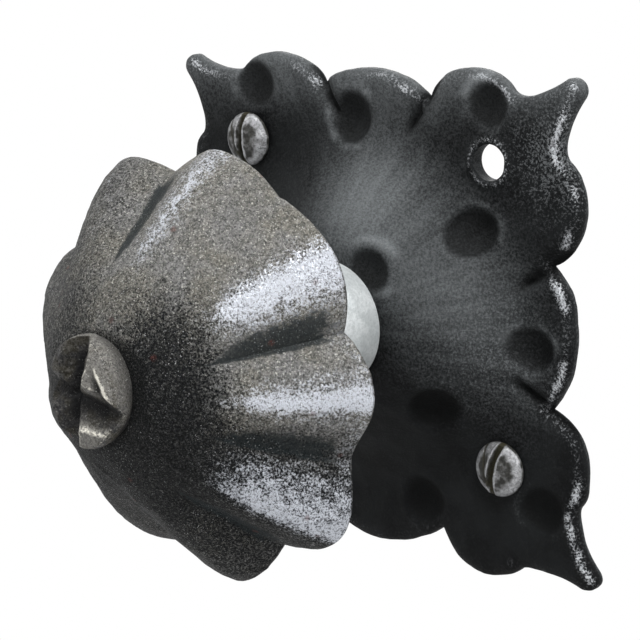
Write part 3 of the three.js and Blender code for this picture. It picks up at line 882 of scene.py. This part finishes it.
def head_cut(x, y):
    """Height of the head's dome and of the chisel cuts' walls, and the way out to its rim."""
    share = np.hypot(x / (HEAD_WIDTH / 2), y / (HEAD_LENGTH / 2))
    dome = HEAD_HEIGHT * (0.66 + 0.3 * np.sqrt(np.maximum(1 - np.minimum(share, 1) ** 2.6, 0)))
    bottom = HEAD_HEIGHT - CHISEL_DEPTH - 0.35 * share
    # The upright cut leans: it lies less far aside at its upper end
    asides = (CHISEL_ASIDE * mix(1, 0.6, smooth(y, 1, 5)), -CHISEL_LOWER)
    total = 0
    for (turn, one_side, other_side), aside in zip(CHISEL_CUTS, asides):
        off = x * math.sin(turn) - y * math.cos(turn) + aside
        slope = np.where(off > 0, other_side, one_side)
        total = total + np.exp(-(bottom + slope * np.sqrt(off**2 + 0.02)) / CUT_SOFTNESS)
    return dome, -CUT_SOFTNESS * np.log(total), share


def head_height(x, y):
    """Top of the rivet's head: a low dome, split by two chisel cuts with raised lips."""
    dome, cut, share = head_cut(x, y)
    height = -CUT_SOFTNESS * np.log(np.exp(-dome / CUT_SOFTNESS) + np.exp(-cut / CUT_SOFTNESS))
    hollow, lip = petal_hollow(x, y)
    lips = 0.16 * bell(cut - dome - 0.1, 0.28) + 0.14 * lip
    return height + lips * (1 - share**4) - PETAL_HOLLOW * hollow


def petal_hollow(x, y):
    """The oval hollow in the right petal, and the lip curled up on its outer side."""
    x, y = x - PETAL_PLACE[0], y - PETAL_PLACE[1]
    along = 0.45 * x - 0.89 * y
    across = 0.89 * x + 0.45 * y
    hollow = bell(across, 0.55) * bell(along, 1.5)
    lip = np.exp(-(((across - 0.85) / 0.26) ** 2) - (along / 2.1) ** 4)
    return hollow, lip


def rivet():
    """The chiselled head, its swollen rim, the shank and the peened tail."""
    angles = full_turn(320)
    foot = CROWN_HEIGHT + SEAT_GAP
    ellipse = 1 / np.hypot(np.cos(angles) / (HEAD_WIDTH / 2), np.sin(angles) / (HEAD_LENGTH / 2))
    rows = []
    kept = []
    for share in np.sin(np.linspace(0.015, math.pi / 2, 64)):
        x = ellipse * share * np.cos(angles) * 0.97
        y = ellipse * share * np.sin(angles) * 0.97
        height = head_height(x, y)
        right = smooth(x - 0.3 * y, -1.6, 0.8)
        lumps = bumps(np.column_stack([x, y, height]), 1.3, 12) * (1 - share**6)
        lumps = mix(0.42, 0.1, right) * lumps
        around = [head_height(x + a, y + b) for a, b in BEND_STEPS]
        bend = height - sum(around) / len(around)
        rows.append(np.column_stack([x, y, foot + height + lumps]))
        hollow, lip = petal_hollow(x, y)
        # Rubbed lips, with a painted highlight that is stronger on the right, towards the light
        crest = smooth(bend, 0.05, 0.16) * (0.12 + 0.45 * right)
        dome, cut, _ = head_cut(x, y)
        low = smooth(-y, 1.8, 3.2) * smooth(x, -1.2, 0.4)
        ridge = bell(cut - dome, 0.34) * low
        # Painted shade: deep in the chisel cuts, on the walls of the lower cut, in the petal's
        # hollow and over the left side
        deep = smooth(HEAD_HEIGHT - height, 0.9, 2.0) * (1 - smooth(share, 0.6, 1.0))
        wall = 0.62 * smooth(dome - cut, 0.25, 0.8) * smooth(-y, 0.2, 1.2)
        kept.append((
            # Rubbed grey, painted lighter on the right and high up, where the light falls
            0.3 + 0.5 * right * smooth(height, 2.6, 3.7),
            np.maximum.reduce([crest, lip, 0.55 * ridge]),
            np.maximum.reduce([deep, 0.5 * (1 - right), wall, 0.9 * hollow]),
        ))
    rim = rows[-1]
    for share in np.linspace(0.1, 1, 16):
        swell = 1 + 0.031 * math.sin(math.pi * min(share * 1.3, 1)) - 0.06 * share**3
        height = mix(rim[:, 2], foot, share)
        row = np.column_stack([rim[:, 0] * swell, rim[:, 1] * swell, height])
        row[:, :2] *= (1 + 0.012 * bumps(row, 1.6, 13))[:, None]
        rows.append(row)
        kept.append((
            # The swollen rim: painted lighter towards the upper right, with a painted shadow down to
            # its foot on the cap
            0.22 + 0.5 * smooth(row[:, 0] + row[:, 1], -2, 5),
            0.15 * (1 - share),
            0.15 + 0.6 * share**2,
        ))
    tail = HOLLOW_HEIGHT - SEAT_GAP
    profile = [
        (SHANK_RADIUS, foot),
        (SHANK_RADIUS, mix(foot, tail, 0.5)),
        (SHANK_RADIUS, tail),
        (TAIL_RADIUS * 0.95, tail),
        (TAIL_RADIUS, tail - TAIL_HEIGHT * 0.2),
        (TAIL_RADIUS * 0.98, tail - TAIL_HEIGHT * 0.42),
        (TAIL_RADIUS * 0.88, tail - TAIL_HEIGHT * 0.7),
        (TAIL_RADIUS * 0.72, tail - TAIL_HEIGHT * 0.9),
        (TAIL_RADIUS * 0.5, tail - TAIL_HEIGHT),
        (0.3, tail - TAIL_HEIGHT),
    ]
    rows += turned_rows(profile, angles)
    kept += [(0.3, 0.2, 0.2)] * len(profile)
    piece = capped_piece("rivet_peened", rows, 60)
    mark_rows(piece, rows, kept, "rubbed", "wear_and_highlight", "dirt_and_shade")
    return piece


# Sleeve

def sleeve():
    columns = 144
    foot = PLATE_SHEET + DOME_RISE + SEAT_GAP
    top = CROWN_HEIGHT - CAP_SHEET - SEAT_GAP
    neck = foot + SLEEVE_FOOT_HEIGHT
    profile = [
        (BORE_RADIUS, foot),
        (SLEEVE_FOOT_RADIUS - 0.3, foot),
        (SLEEVE_FOOT_RADIUS, foot + 0.3),
        (SLEEVE_FOOT_RADIUS, neck - 0.6),
        (SLEEVE_FOOT_RADIUS - 0.05, neck - 0.2),
        (SLEEVE_FOOT_RADIUS - 0.2, neck + 0.3),
        (SLEEVE_TOP_RADIUS + 0.1, neck + SLEEVE_FOOT_HEIGHT - 0.4),
        (SLEEVE_TOP_RADIUS, neck + SLEEVE_FOOT_HEIGHT),
        (SLEEVE_TOP_RADIUS, top - 0.8),
        (SLEEVE_TOP_RADIUS - 0.8, top),
        (BORE_RADIUS, top),
    ]
    rows = turned_rows(profile, full_turn(columns))
    faces = ring_faces(len(rows), columns, True)
    return build_mesh("sleeve_turned", np.vstack(rows), faces, 35)


# Screws

def screw(name, corner, turn, seed):
    """A scuffed round head with a filed slot, and a threaded shank down to its point."""
    columns = 200
    angles = full_turn(columns)
    seat = PLATE_SHEET + SEAT_GAP
    head = SCREW_HEAD_HEIGHT
    rows = []
    kept = []
    for share in np.sin(np.linspace(0.01, math.pi / 2, 60)):
        x = SCREW_HEAD_RADIUS * share * np.cos(angles)
        y = SCREW_HEAD_RADIUS * share * np.sin(angles)
        dome = head * (0.14 + 0.86 * max(1 - share**2.2, 0) ** 0.55)
        along = x * math.cos(turn) + y * math.sin(turn)
        off = y * math.cos(turn) - x * math.sin(turn) - SLOT_ASIDE + 0.03 * along**2
        beside = np.abs(off) - SLOT_WIDTH / 2
        slot = 1 - smooth(beside, -0.08, 0.12)
        burr = bell(beside - 0.22, 0.16) * (share < 0.97)
        crack = bell(off - 1.15 - 0.35 * along, 0.2) * smooth(share, 0.25, 0.5)
        flat = np.column_stack([x, y, np.full(columns, seed * 10.0)])
        lumps = 0.13 * bumps(flat, 1.3, seed) * (1 - share**8)
        height = dome + 0.13 * burr + lumps - 0.22 * crack
        height = mix(height, np.minimum(height, head - SLOT_DEPTH), slot)
        height = np.minimum(height, head)
        rows.append(np.column_stack([x, y, height]))
        rim = smooth(share, 0.6, 0.85) * (1 - smooth(share, 0.97, 1.0))
        bright = np.maximum(rim, burr)
        clean = (1 - slot) * (1 - 0.8 * crack)
        kept.append((clean * (0.25 + 0.75 * bright), np.maximum(slot, 0.7 * crack)))
    rows.append(ring_row(SCREW_HEAD_RADIUS * 0.99, angles, head * 0.07))
    rows.append(ring_row(SCREW_HEAD_RADIUS * 0.96, angles, 0))
    kept += [(0.3, 0.6)] * 2
    for depth in np.arange(0, SCREW_LENGTH - 0.05, 0.12):
        taper = float(np.clip((SCREW_LENGTH - depth) / SCREW_POINT, 0, 1))
        wave = (depth / THREAD_PITCH - angles / (2 * math.pi)) % 1
        ridge = np.clip(1 - np.abs(wave - 0.5) / 0.22, 0, 1)
        start = float(smooth(depth, 4.5, 6))
        radius = taper * (SCREW_SHANK_RADIUS - THREAD_DEPTH * start * (1 - ridge))
        rows.append(ring_row(radius, angles, -depth))
        kept.append((0.3 + 0.5 * start * ridge, 0.1))
    placed = [row + (*HOLES[corner], seat) for row in rows]
    piece = capped_piece(name, placed, 45)
    mark_rows(piece, rows, kept, "wear_and_highlight", "dirt_and_shade")
    return piece


# Finishes

def colour(code):
    """sRGB hex, as linear red, green, blue and one."""
    parts = [int(code[i:i + 2], 16) / 255 for i in (1, 3, 5)]
    return tuple(p / 12.92 if p <= 0.04045 else ((p + 0.055) / 1.055) ** 2.4 for p in parts) + (1,)


def add_node(tree, kind, sockets=None, **settings):
    """Adds a node, with its settings, and its sockets' values or what they are linked to."""
    node = tree.nodes.new(kind)
    for key, value in settings.items():
        setattr(node, key, value)
    for key, value in (sockets or {}).items():
        if isinstance(value, bpy.types.NodeSocket):
            tree.links.new(value, node.inputs[key])
        else:
            node.inputs[key].default_value = value
    return node


def new_finish(name):
    material = bpy.data.materials.new(name)
    material.use_nodes = True
    tree = material.node_tree
    tree.nodes.clear()
    return material, tree, tree.nodes.new("ShaderNodeOutputMaterial")


def in_millimetres(tree):
    """The piece's own coordinates, in millimetres."""
    own = add_node(tree, "ShaderNodeTexCoord")
    scaled = add_node(
        tree, "ShaderNodeVectorMath", {0: own.outputs["Object"], "Scale": 1 / MM}, operation="SCALE",
    )
    return scaled.outputs[0]


def marks(tree, *names):
    """What mark kept on the piece under each name."""
    kept = []
    for name in names:
        node = add_node(tree, "ShaderNodeAttribute", attribute_name=name)
        kept.append(node.outputs["Vector" if name == "swept" else "Fac"])
    return kept


def patches(tree, place, size, low, high, detail=3.0, roughness=0.6):
    """Cloudy patches of a size in millimetres: 0 below low, 1 above high."""
    cloud = add_node(tree, "ShaderNodeTexNoise", {
        "Vector": place, "Scale": 1 / size, "Detail": detail, "Roughness": roughness,
    })
    share = add_node(tree, "ShaderNodeMapRange", {
        "Value": cloud.outputs[0], "From Min": low, "From Max": high,
    }, interpolation_type="SMOOTHSTEP")
    return share.outputs[0]


def eaten_by(tree, mask, grain, bite, low, high):
    """A mask that the grain eats into: bite is how far, from 0 to 1."""
    both = add_node(
        tree, "ShaderNodeMath", {0: grain, 1: 2 * bite, 2: mask}, operation="MULTIPLY_ADD",
    )
    share = add_node(tree, "ShaderNodeMapRange", {
        "Value": both.outputs[0], "From Min": low + bite, "From Max": high + bite,
    }, interpolation_type="SMOOTHSTEP")
    return share.outputs[0]


def coats(tree, tone, *layers):
    """Colours laid over one another. Each layer has its colour and then its shares, from 0 to
    1: it covers what is below as far as all of them agree."""
    for above, share, *others in layers:
        for other in others:
            both = add_node(tree, "ShaderNodeMath", {0: share, 1: other}, operation="MULTIPLY")
            share = both.outputs[0]
        above = colour(above) if isinstance(above, str) else above
        laid = add_node(tree, "ShaderNodeMix", {0: share, 6: tone, 7: above}, data_type="RGBA")
        tone = laid.outputs[2]
    return tone


def metal_skin(tree, output, tone, bare, metallic, roughness, level, reliefs):
    """The shader of a metal whose bare share, from 0 to 1, leads from its scaled look to its
    rubbed one. Each relief is a pattern and its height in millimetres."""
    shine = add_node(tree, "ShaderNodeMapRange", {
        "Value": bare, "To Min": metallic[0], "To Max": metallic[1],
    })
    rough = add_node(tree, "ShaderNodeMapRange", {
        "Value": bare, "To Min": roughness[0], "To Max": roughness[1],
    })
    sockets = {
        "Base Color": tone,
        "Metallic": shine.outputs[0],
        "Roughness": rough.outputs[0],
        "Specular IOR Level": level,
    }
    for pattern, height in reliefs:
        bump = {"Height": pattern, "Strength": 1.0, "Distance": height * MM}
        if "Normal" in sockets:
            bump["Normal"] = sockets["Normal"]
        sockets["Normal"] = add_node(tree, "ShaderNodeBump", bump).outputs[0]
    shader = add_node(tree, "ShaderNodeBsdfPrincipled", sockets)
    tree.links.new(shader.outputs[0], output.inputs[0])


def wire_brushed_black_iron(settings):
    """Forged iron with its black scale on, wire-brushed: dull charcoal, hazy grey where the brush
    went over the dome, with painted light on its upper flank; bare and bright on the rolled edge,
    with a painted highlight on the side facing the lamp; darkened with painted shade in dents,
    creases and cracks."""
    material, tree, output = new_finish("wire_brushed_black_iron")
    place = in_millimetres(tree)
    swept, haze_and_light, grit, wear_and_highlight, dirt_and_shade = marks(tree, "swept", "haze_and_light", "grit", "wear_and_highlight", "dirt_and_shade")
    # Brush marks are some 0.2 mm apart, and scale grains 0.1 mm: both drawn coarser, to show
    streaks = patches(tree, swept, 1.3, 0.36, 0.68, 5, 0.65)
    grain = patches(tree, place, 0.3, 0.36, 0.64, 4, 0.75)
    clouds = patches(tree, place, 7, 0.35, 0.65)
    # Hazy brushing, partly painted light on the dome's upper flank and the top of the plate
    brushed = eaten_by(tree, haze_and_light, streaks, 0.03, 0.0, 1.0)
    # Rubbed edge, with a painted highlight on the side facing the lamp
    bare = eaten_by(tree, wear_and_highlight, grain, 0.28, 0.25, 0.85)
    tone = coats(
        tree, settings.scale_colour,
        ("#1d1f20", clouds),
        ("#0c0d0e", grain, 0.55),
        ("#85898b", eaten_by(tree, brushed, grain, 0.1, 0.0, 1.0)),
        ("#7c7f81", eaten_by(tree, grit, grain, 0.4, 0.5, 0.95), 0.75),
        (settings.bare_and_highlight_colour, bare),
        # Painted shade in dents, creases and cracks
        ("#090a0a", dirt_and_shade),
    )
    reliefs = ((grain, 0.04), (streaks, 0.015))
    metal_skin(tree, output, tone, bare, (0.1, 0.9), (0.6, 0.38), 0.1, reliefs)
    return material


def grainy_gunmetal_iron(settings):
    """Hammered iron sheet, oiled and rubbed: black scale under a gritty gunmetal grey, slightly warm
    and painted lighter on the upper side, silvery where hands have burnished the ridges, with a
    painted highlight on the ridges and rim that face the light, painted shade in the flutes, a
    little rust."""
    material, tree, output = new_finish("grainy_gunmetal_iron")
    place = in_millimetres(tree)
    swept, rubbed, wear_and_highlight, dirt_and_shade = marks(tree, "swept", "rubbed", "wear_and_highlight", "dirt_and_shade")
    # The real grains and pits are some 0.1 mm: drawn at 0.2 to 0.3 mm, to show
    streaks = patches(tree, swept, 0.7, 0.34, 0.66, 5, 0.7)
    grain = patches(tree, place, 0.25, 0.36, 0.64, 4, 0.8)
    pits = patches(tree, place, 0.24, 0.55, 0.63, 3, 0.8)
    mottle = patches(tree, place, 0.7, 0.42, 0.62, 5, 0.85)
    flecks = patches(tree, place, 0.28, 0.57, 0.64, 3, 0.85)
    sparkle = patches(tree, place, 0.2, 0.64, 0.70, 2, 0.8)
    clouds = patches(tree, place, 5, 0.35, 0.65)
    grey = coats(
        tree, settings.rubbed_and_lit_colour,
        ("#8f8a7c", clouds, 0.65),
        ("#5d5f5a", mottle, 0.75),
        ("#efede4", flecks, 0.85),
    )
    # Rubbed grey, partly painted light of the upper side
    rubbed = eaten_by(tree, rubbed, streaks, 0.09, 0.0, 1.0)
    wear_and_highlight = eaten_by(tree, wear_and_highlight, streaks, 0.14, 0.0, 1.0)
    bare = eaten_by(tree, wear_and_highlight, grain, 0.36, 0.3, 0.95)
    dirt_and_shade = eaten_by(tree, dirt_and_shade, streaks, 0.24, 0.1, 0.9)
    rust = add_node(tree, "ShaderNodeTexVoronoi", {"Vector": place, "Scale": 1 / 4.5})
    specks = add_node(tree, "ShaderNodeMapRange", {
        "Value": rust.outputs["Distance"], "From Min": 0.11, "From Max": 0.05,
    })
    tone = coats(
        tree, settings.scale_colour,
        ("#101112", clouds),
        ("#4c4e4e", grain, 0.2),
        (grey, eaten_by(tree, rubbed, grain, 0.34, 0.05, 1.0)),
        # Burnished ridges, with their painted highlight
        (settings.bare_and_highlight_colour, bare),
        ("#1b1c24", pits, 0.6),
        # Painted shade on the flute flanks
        ("#262c2e", eaten_by(tree, dirt_and_shade, grain, 0.24, 0.05, 0.95), 0.9),
        ("#e0e2e4", sparkle, clouds, 0.85),
        ("#6a3a33", specks.outputs[0], grain, 0.7),
    )
    reliefs = ((grain, 0.05), (streaks, 0.03))
    metal_skin(tree, output, tone, bare, (0.1, 0.9), (0.55, 0.38), 0.08, reliefs)
    return material


def chiselled_rivet_iron(settings):
    """Hot-peened rivet end split with a chisel: brown-grey scale, with painted shade in the cuts,
    the hollow and the left side and painted light on the right; the raised lips rubbed bright, with
    a painted highlight on the right."""
    material, tree, output = new_finish("chiselled_rivet_iron")
    place = in_millimetres(tree)
    rubbed, wear_and_highlight, dirt_and_shade = marks(tree, "rubbed", "wear_and_highlight", "dirt_and_shade")
    # Scale grains of some 0.1 mm, drawn coarser, to show
    grain = patches(tree, place, 0.3, 0.38, 0.62, 4, 0.8)
    pits = patches(tree, place, 0.24, 0.55, 0.66, 3, 0.8)
    sparkle = patches(tree, place, 0.2, 0.63, 0.68, 2, 0.8)
    clouds = patches(tree, place, 1.6, 0.38, 0.62)
    bare = eaten_by(tree, wear_and_highlight, grain, 0.25, 0.2, 0.8)
    tone = coats(
        tree, settings.rivet_colour,
        ("#3d3829", clouds),
        # Rubbed grey, partly painted light on the right
        ("#8f8d88", eaten_by(tree, rubbed, grain, 0.25, 0.1, 1.0)),
        ("#e3dfd4", bare),
        ("#1b1b1d", pits, 0.6),
        # Painted shade
        ("#08080a", dirt_and_shade),
        ("#d8d8d4", sparkle, rubbed),
    )
    metal_skin(tree, output, tone, bare, (0.1, 0.85), (0.5, 0.38), 0.25, ((grain, 0.05),))
    return material


def bare_filed_steel(settings):
    """Zinc-grey spacer, turned and touched with a file: pale, matt and slightly cloudy."""
    material, tree, output = new_finish("bare_filed_steel")
    place = in_millimetres(tree)
    clouds = patches(tree, place, 2.5, 0.35, 0.65)
    grain = patches(tree, place, 0.4, 0.38, 0.66, 3, 0.7)
    tone = coats(tree, settings.sleeve_colour, ("#dfe3e4", clouds), ("#9aa1a1", grain, 0.35))
    metal_skin(tree, output, tone, grain, (0.35, 0.3), (0.5, 0.62), 0.4, ((grain, 0.02),))
    return material


def worn_screw_steel(settings):
    """Old round-head screw: silver-grey, scuffed and pitted, its slot full of brown dirt."""
    material, tree, output = new_finish("worn_screw_steel")
    place = in_millimetres(tree)
    wear_and_highlight, dirt_and_shade = marks(tree, "wear_and_highlight", "dirt_and_shade")
    clouds = patches(tree, place, 1.2, 0.40, 0.60, 4)
    # Pits of some 0.1 mm, drawn coarser, to show
    grain = patches(tree, place, 0.3, 0.38, 0.62, 3, 0.75)
    bare = eaten_by(tree, wear_and_highlight, clouds, 0.3, 0.2, 1.0)
    tone = coats(
        tree, settings.screw_colour,
        ("#565655", clouds), ("#bdbec1", bare), ("#2e2d26", grain, 0.55), ("#2a2716", dirt_and_shade),
    )
    metal_skin(tree, output, tone, bare, (0.2, 0.8), (0.55, 0.36), 0.4, ((grain, 0.05),))
    return material


# Stage

def seen_by(tree, *rays):
    """1 for rays from the eye and for those of the kinds named."""
    path = add_node(tree, "ShaderNodeLightPath")
    seen = path.outputs["Is Camera Ray"]
    for ray in rays:
        either = add_node(tree, "ShaderNodeMath", {
            0: seen, 1: path.outputs[ray],
        }, operation="MAXIMUM")
        seen = either.outputs[0]
    return seen


def pale_floor():
    """Matt white board. Its shadow is kept where it falls; further off it is plain white."""
    material, tree, output = new_finish("pale_floor")
    own = add_node(tree, "ShaderNodeTexCoord")
    away = add_node(tree, "ShaderNodeVectorMath", {
        0: own.outputs["Object"], 1: SHADOW_PLACE + (0,),
    }, operation="DISTANCE")
    far = add_node(tree, "ShaderNodeMapRange", {
        "Value": away.outputs["Value"], "From Min": 0.09, "From Max": 0.15,
    })
    seen = seen_by(tree, "Is Glossy Ray")
    paint = add_node(tree, "ShaderNodeBsdfDiffuse", {"Color": colour("#f2f2f2")})
    white = add_node(tree, "ShaderNodeEmission", {"Strength": 1.0})
    share = add_node(
        tree, "ShaderNodeMath", {0: seen, 1: far.outputs[0]}, operation="MULTIPLY",
    )
    both = add_node(tree, "ShaderNodeMixShader", {
        0: share.outputs[0], 1: paint.outputs[0], 2: white.outputs[0],
    })
    tree.links.new(both.outputs[0], output.inputs[0])
    return material


def stage_floor(settings):
    low, _ = CAD_BOX
    mesh = bpy.data.meshes.new("floor")
    size = 4.0
    corners = [(-size, -size, 0), (size, -size, 0), (size, size, 0), (-size, size, 0)]
    mesh.from_pydata(corners, [], [(0, 1, 2, 3)])
    mesh.materials.append(pale_floor())
    floor = add_object("floor", mesh, (0, 0, low[2] - settings.floor_drop))


def soft_lamp(name, place, size, power):
    lamp = bpy.data.lights.new(name, "AREA")
    lamp.shape = "DISK"
    lamp.size = size
    lamp.energy = power
    thing = add_object(name, lamp, place)
    aim = Vector(LAMP_AIM) - Vector(place)
    thing.rotation_euler = aim.to_track_quat("-Z", "Y").to_euler()


def studio_light(settings):
    world = bpy.data.worlds.new("studio")
    bpy.context.scene.world = world
    world.use_nodes = True
    tree = world.node_tree
    tree.nodes.clear()
    seen = seen_by(tree, "Is Glossy Ray", "Is Transmission Ray")
    plain = colour("#ffffff")
    dim = add_node(tree, "ShaderNodeBackground", {
        "Color": plain, "Strength": settings.sky_strength,
    })
    white = add_node(tree, "ShaderNodeBackground", {"Color": plain, "Strength": 1.0})
    both = add_node(tree, "ShaderNodeMixShader", {
        0: seen, 1: dim.outputs[0], 2: white.outputs[0],
    })
    add_node(tree, "ShaderNodeOutputWorld", {0: both.outputs[0]})
    soft_lamp("key", KEY_PLACE, 0.3, settings.key_power)
    soft_lamp("fill", FILL_PLACE, 0.4, settings.fill_power)
    soft_lamp("behind", BEHIND_PLACE, 0.4, settings.behind_power)


def camera():
    data = bpy.data.cameras.new("camera")
    data.lens = CAMERA_LENS
    data.sensor_width = 36
    data.clip_start = 0.01
    thing = add_object("camera", data, CAMERA_PLACE)
    thing.rotation_euler = [math.radians(angle) for angle in CAMERA_TURN]
    bpy.context.scene.camera = thing
    bpy.context.scene.view_settings.view_transform = "Standard"


# Settings

def colour_setting(name, description, code):
    return bpy.props.FloatVectorProperty(
        name=name, description=description,
        default=colour(code), size=4, min=0, max=1, subtype="COLOR",
    )


def number_setting(name, description, default, unit, least=0.0):
    return bpy.props.FloatProperty(
        name=name, description=description, default=default, min=least, unit=unit,
    )


class PlateSettings(bpy.types.PropertyGroup):
    dent_depth: number_setting(
        "Dent Depth", "How deep the ball punch went into the plate",
        0.00125, "LENGTH",
    )
    hammer_depth: number_setting(
        "Hammer Depth", "Depth of the broad hammer faces",
        0.00016, "LENGTH",
    )
    edge_width: number_setting(
        "Edge Width", "How far in from the edge the rounding starts",
        0.0017, "LENGTH", 0.0005,
    )
    scale_colour: colour_setting(
        "Scale Colour", "Colour of the black forge scale", "#0d0e0f",
    )
    # Colour of the bare edge, also used for its painted highlight
    bare_and_highlight_colour: colour_setting(
        "Bare Colour", "Colour of the iron where the edge is rubbed bare", "#c9ccd0",
    )


class CapSettings(bpy.types.PropertyGroup):
    hammer_depth: number_setting(
        "Hammer Depth", "Depth of the broad hammer faces",
        0.00014, "LENGTH",
    )
    scale_colour: colour_setting(
        "Scale Colour", "Colour of the black scale on the crown", "#060707",
    )
    # Colour of the rubbed grey, also used for the painted light of the upper side
    rubbed_and_lit_colour: colour_setting(
        "Rubbed Colour", "Colour of the grey, rubbed flanks", "#999897",
    )
    bare_and_highlight_colour: colour_setting(
        "Bare Colour", "Colour of the burnished ridges", "#d2d6de",
    )


class FittingSettings(bpy.types.PropertyGroup):
    rivet_colour: colour_setting(
        "Rivet Colour", "Colour of the scale on the rivet", "#2a2a2e",
    )
    sleeve_colour: colour_setting(
        "Sleeve Colour", "Colour of the pale sleeve", "#c6cbcc",
    )
    screw_colour: colour_setting(
        "Screw Colour", "Colour of the screws where they are dull", "#262624",
    )


class StageSettings(bpy.types.PropertyGroup):
    floor_drop: number_setting(
        "Floor Drop", "How far the floor lies below the knob on its door",
        0.16, "LENGTH",
    )
    key_power: number_setting(
        "Key Power", "Power of the main lamp, at the upper right",
        4.6, "POWER",
    )
    fill_power: number_setting(
        "Fill Power", "Power of the weaker lamp, at the left",
        0.25, "POWER",
    )
    behind_power: number_setting(
        "Behind Power", "Power of the lamp behind, which lights the hidden sides",
        2.0, "POWER",
    )
    sky_strength: number_setting(
        "Sky Strength", "How much the surroundings light the knob",
        0.16, "NONE",
    )


# Operators

class KNOB_OT_backplate(bpy.types.Operator):
    """Builds the lobed, hammered backplate"""

    bl_idname = "knob.backplate"
    bl_label = "Backplate"

    def execute(self, context):
        settings = context.scene.knob_plate
        stand_for(backplate(settings), wire_brushed_black_iron(settings), "backplate")
        return {"FINISHED"}


class KNOB_OT_cap(bpy.types.Operator):
    """Builds the fluted cap"""

    bl_idname = "knob.cap"
    bl_label = "Cap"

    def execute(self, context):
        settings = context.scene.knob_cap
        stand_for(knob_cap(settings), grainy_gunmetal_iron(settings), "knob_cap")
        return {"FINISHED"}


class KNOB_OT_rivet(bpy.types.Operator):
    """Builds the rivet with its chiselled head"""

    bl_idname = "knob.rivet"
    bl_label = "Rivet"

    def execute(self, context):
        settings = context.scene.knob_fittings
        stand_for(rivet(), chiselled_rivet_iron(settings), "center_rivet")
        return {"FINISHED"}


class KNOB_OT_sleeve(bpy.types.Operator):
    """Builds the sleeve between plate and cap"""

    bl_idname = "knob.sleeve"
    bl_label = "Sleeve"

    def execute(self, context):
        settings = context.scene.knob_fittings
        stand_for(sleeve(), bare_filed_steel(settings), "sleeve")
        return {"FINISHED"}


class KNOB_OT_screws(bpy.types.Operator):
    """Builds the two round-head wood screws"""

    bl_idname = "knob.screws"
    bl_label = "Screws"

    def execute(self, context):
        finish = worn_screw_steel(context.scene.knob_fittings)
        for seed, (node, corner, turn) in enumerate(SCREWS):
            piece = screw(node + "_threaded", corner, turn, seed + 21)
            stand_for(piece, finish, node)
        return {"FINISHED"}


class KNOB_OT_stage(bpy.types.Operator):
    """Sets up the floor, the light and the camera"""

    bl_idname = "knob.stage"
    bl_label = "Floor, Light and Camera"

    def execute(self, context):
        settings = context.scene.knob_stage
        stage_floor(settings)
        studio_light(settings)
        camera()
        return {"FINISHED"}


class KNOB_PT_panel(bpy.types.Panel):
    bl_idname = "KNOB_PT_panel"
    bl_label = "Forged Knob"
    bl_space_type = "VIEW_3D"
    bl_region_type = "UI"
    bl_category = "Knob"

    def draw(self, context):
        scene = context.scene
        for group, operators in (
            (scene.knob_plate, ("knob.backplate",)),
            (scene.knob_cap, ("knob.cap",)),
            (scene.knob_fittings, ("knob.rivet", "knob.sleeve", "knob.screws")),
            (scene.knob_stage, ("knob.stage",)),
        ):
            box = self.layout.box()
            for key in group.__annotations__:
                box.prop(group, key)
            for operator in operators:
                box.operator(operator)


GROUPS = {
    "knob_plate": PlateSettings,
    "knob_cap": CapSettings,
    "knob_fittings": FittingSettings,
    "knob_stage": StageSettings,
}
CLASSES = (
    KNOB_OT_backplate,
    KNOB_OT_cap,
    KNOB_OT_rivet,
    KNOB_OT_sleeve,
    KNOB_OT_screws,
    KNOB_OT_stage,
    KNOB_PT_panel,
)


def register():
    for key, group in GROUPS.items():
        bpy.utils.register_class(group)
        setattr(bpy.types.Scene, key, bpy.props.PointerProperty(type=group))
    for cls in CLASSES:
        bpy.utils.register_class(cls)


def unregister():
    for cls in reversed(CLASSES):
        bpy.utils.unregister_class(cls)
    for key, group in GROUPS.items():
        delattr(bpy.types.Scene, key)
        bpy.utils.unregister_class(group)


def main():
    register()
    bpy.ops.knob.backplate()
    bpy.ops.knob.cap()
    bpy.ops.knob.rivet()
    bpy.ops.knob.sleeve()
    bpy.ops.knob.screws()
    bpy.ops.knob.stage()


if __name__ == "__main__":
    main()
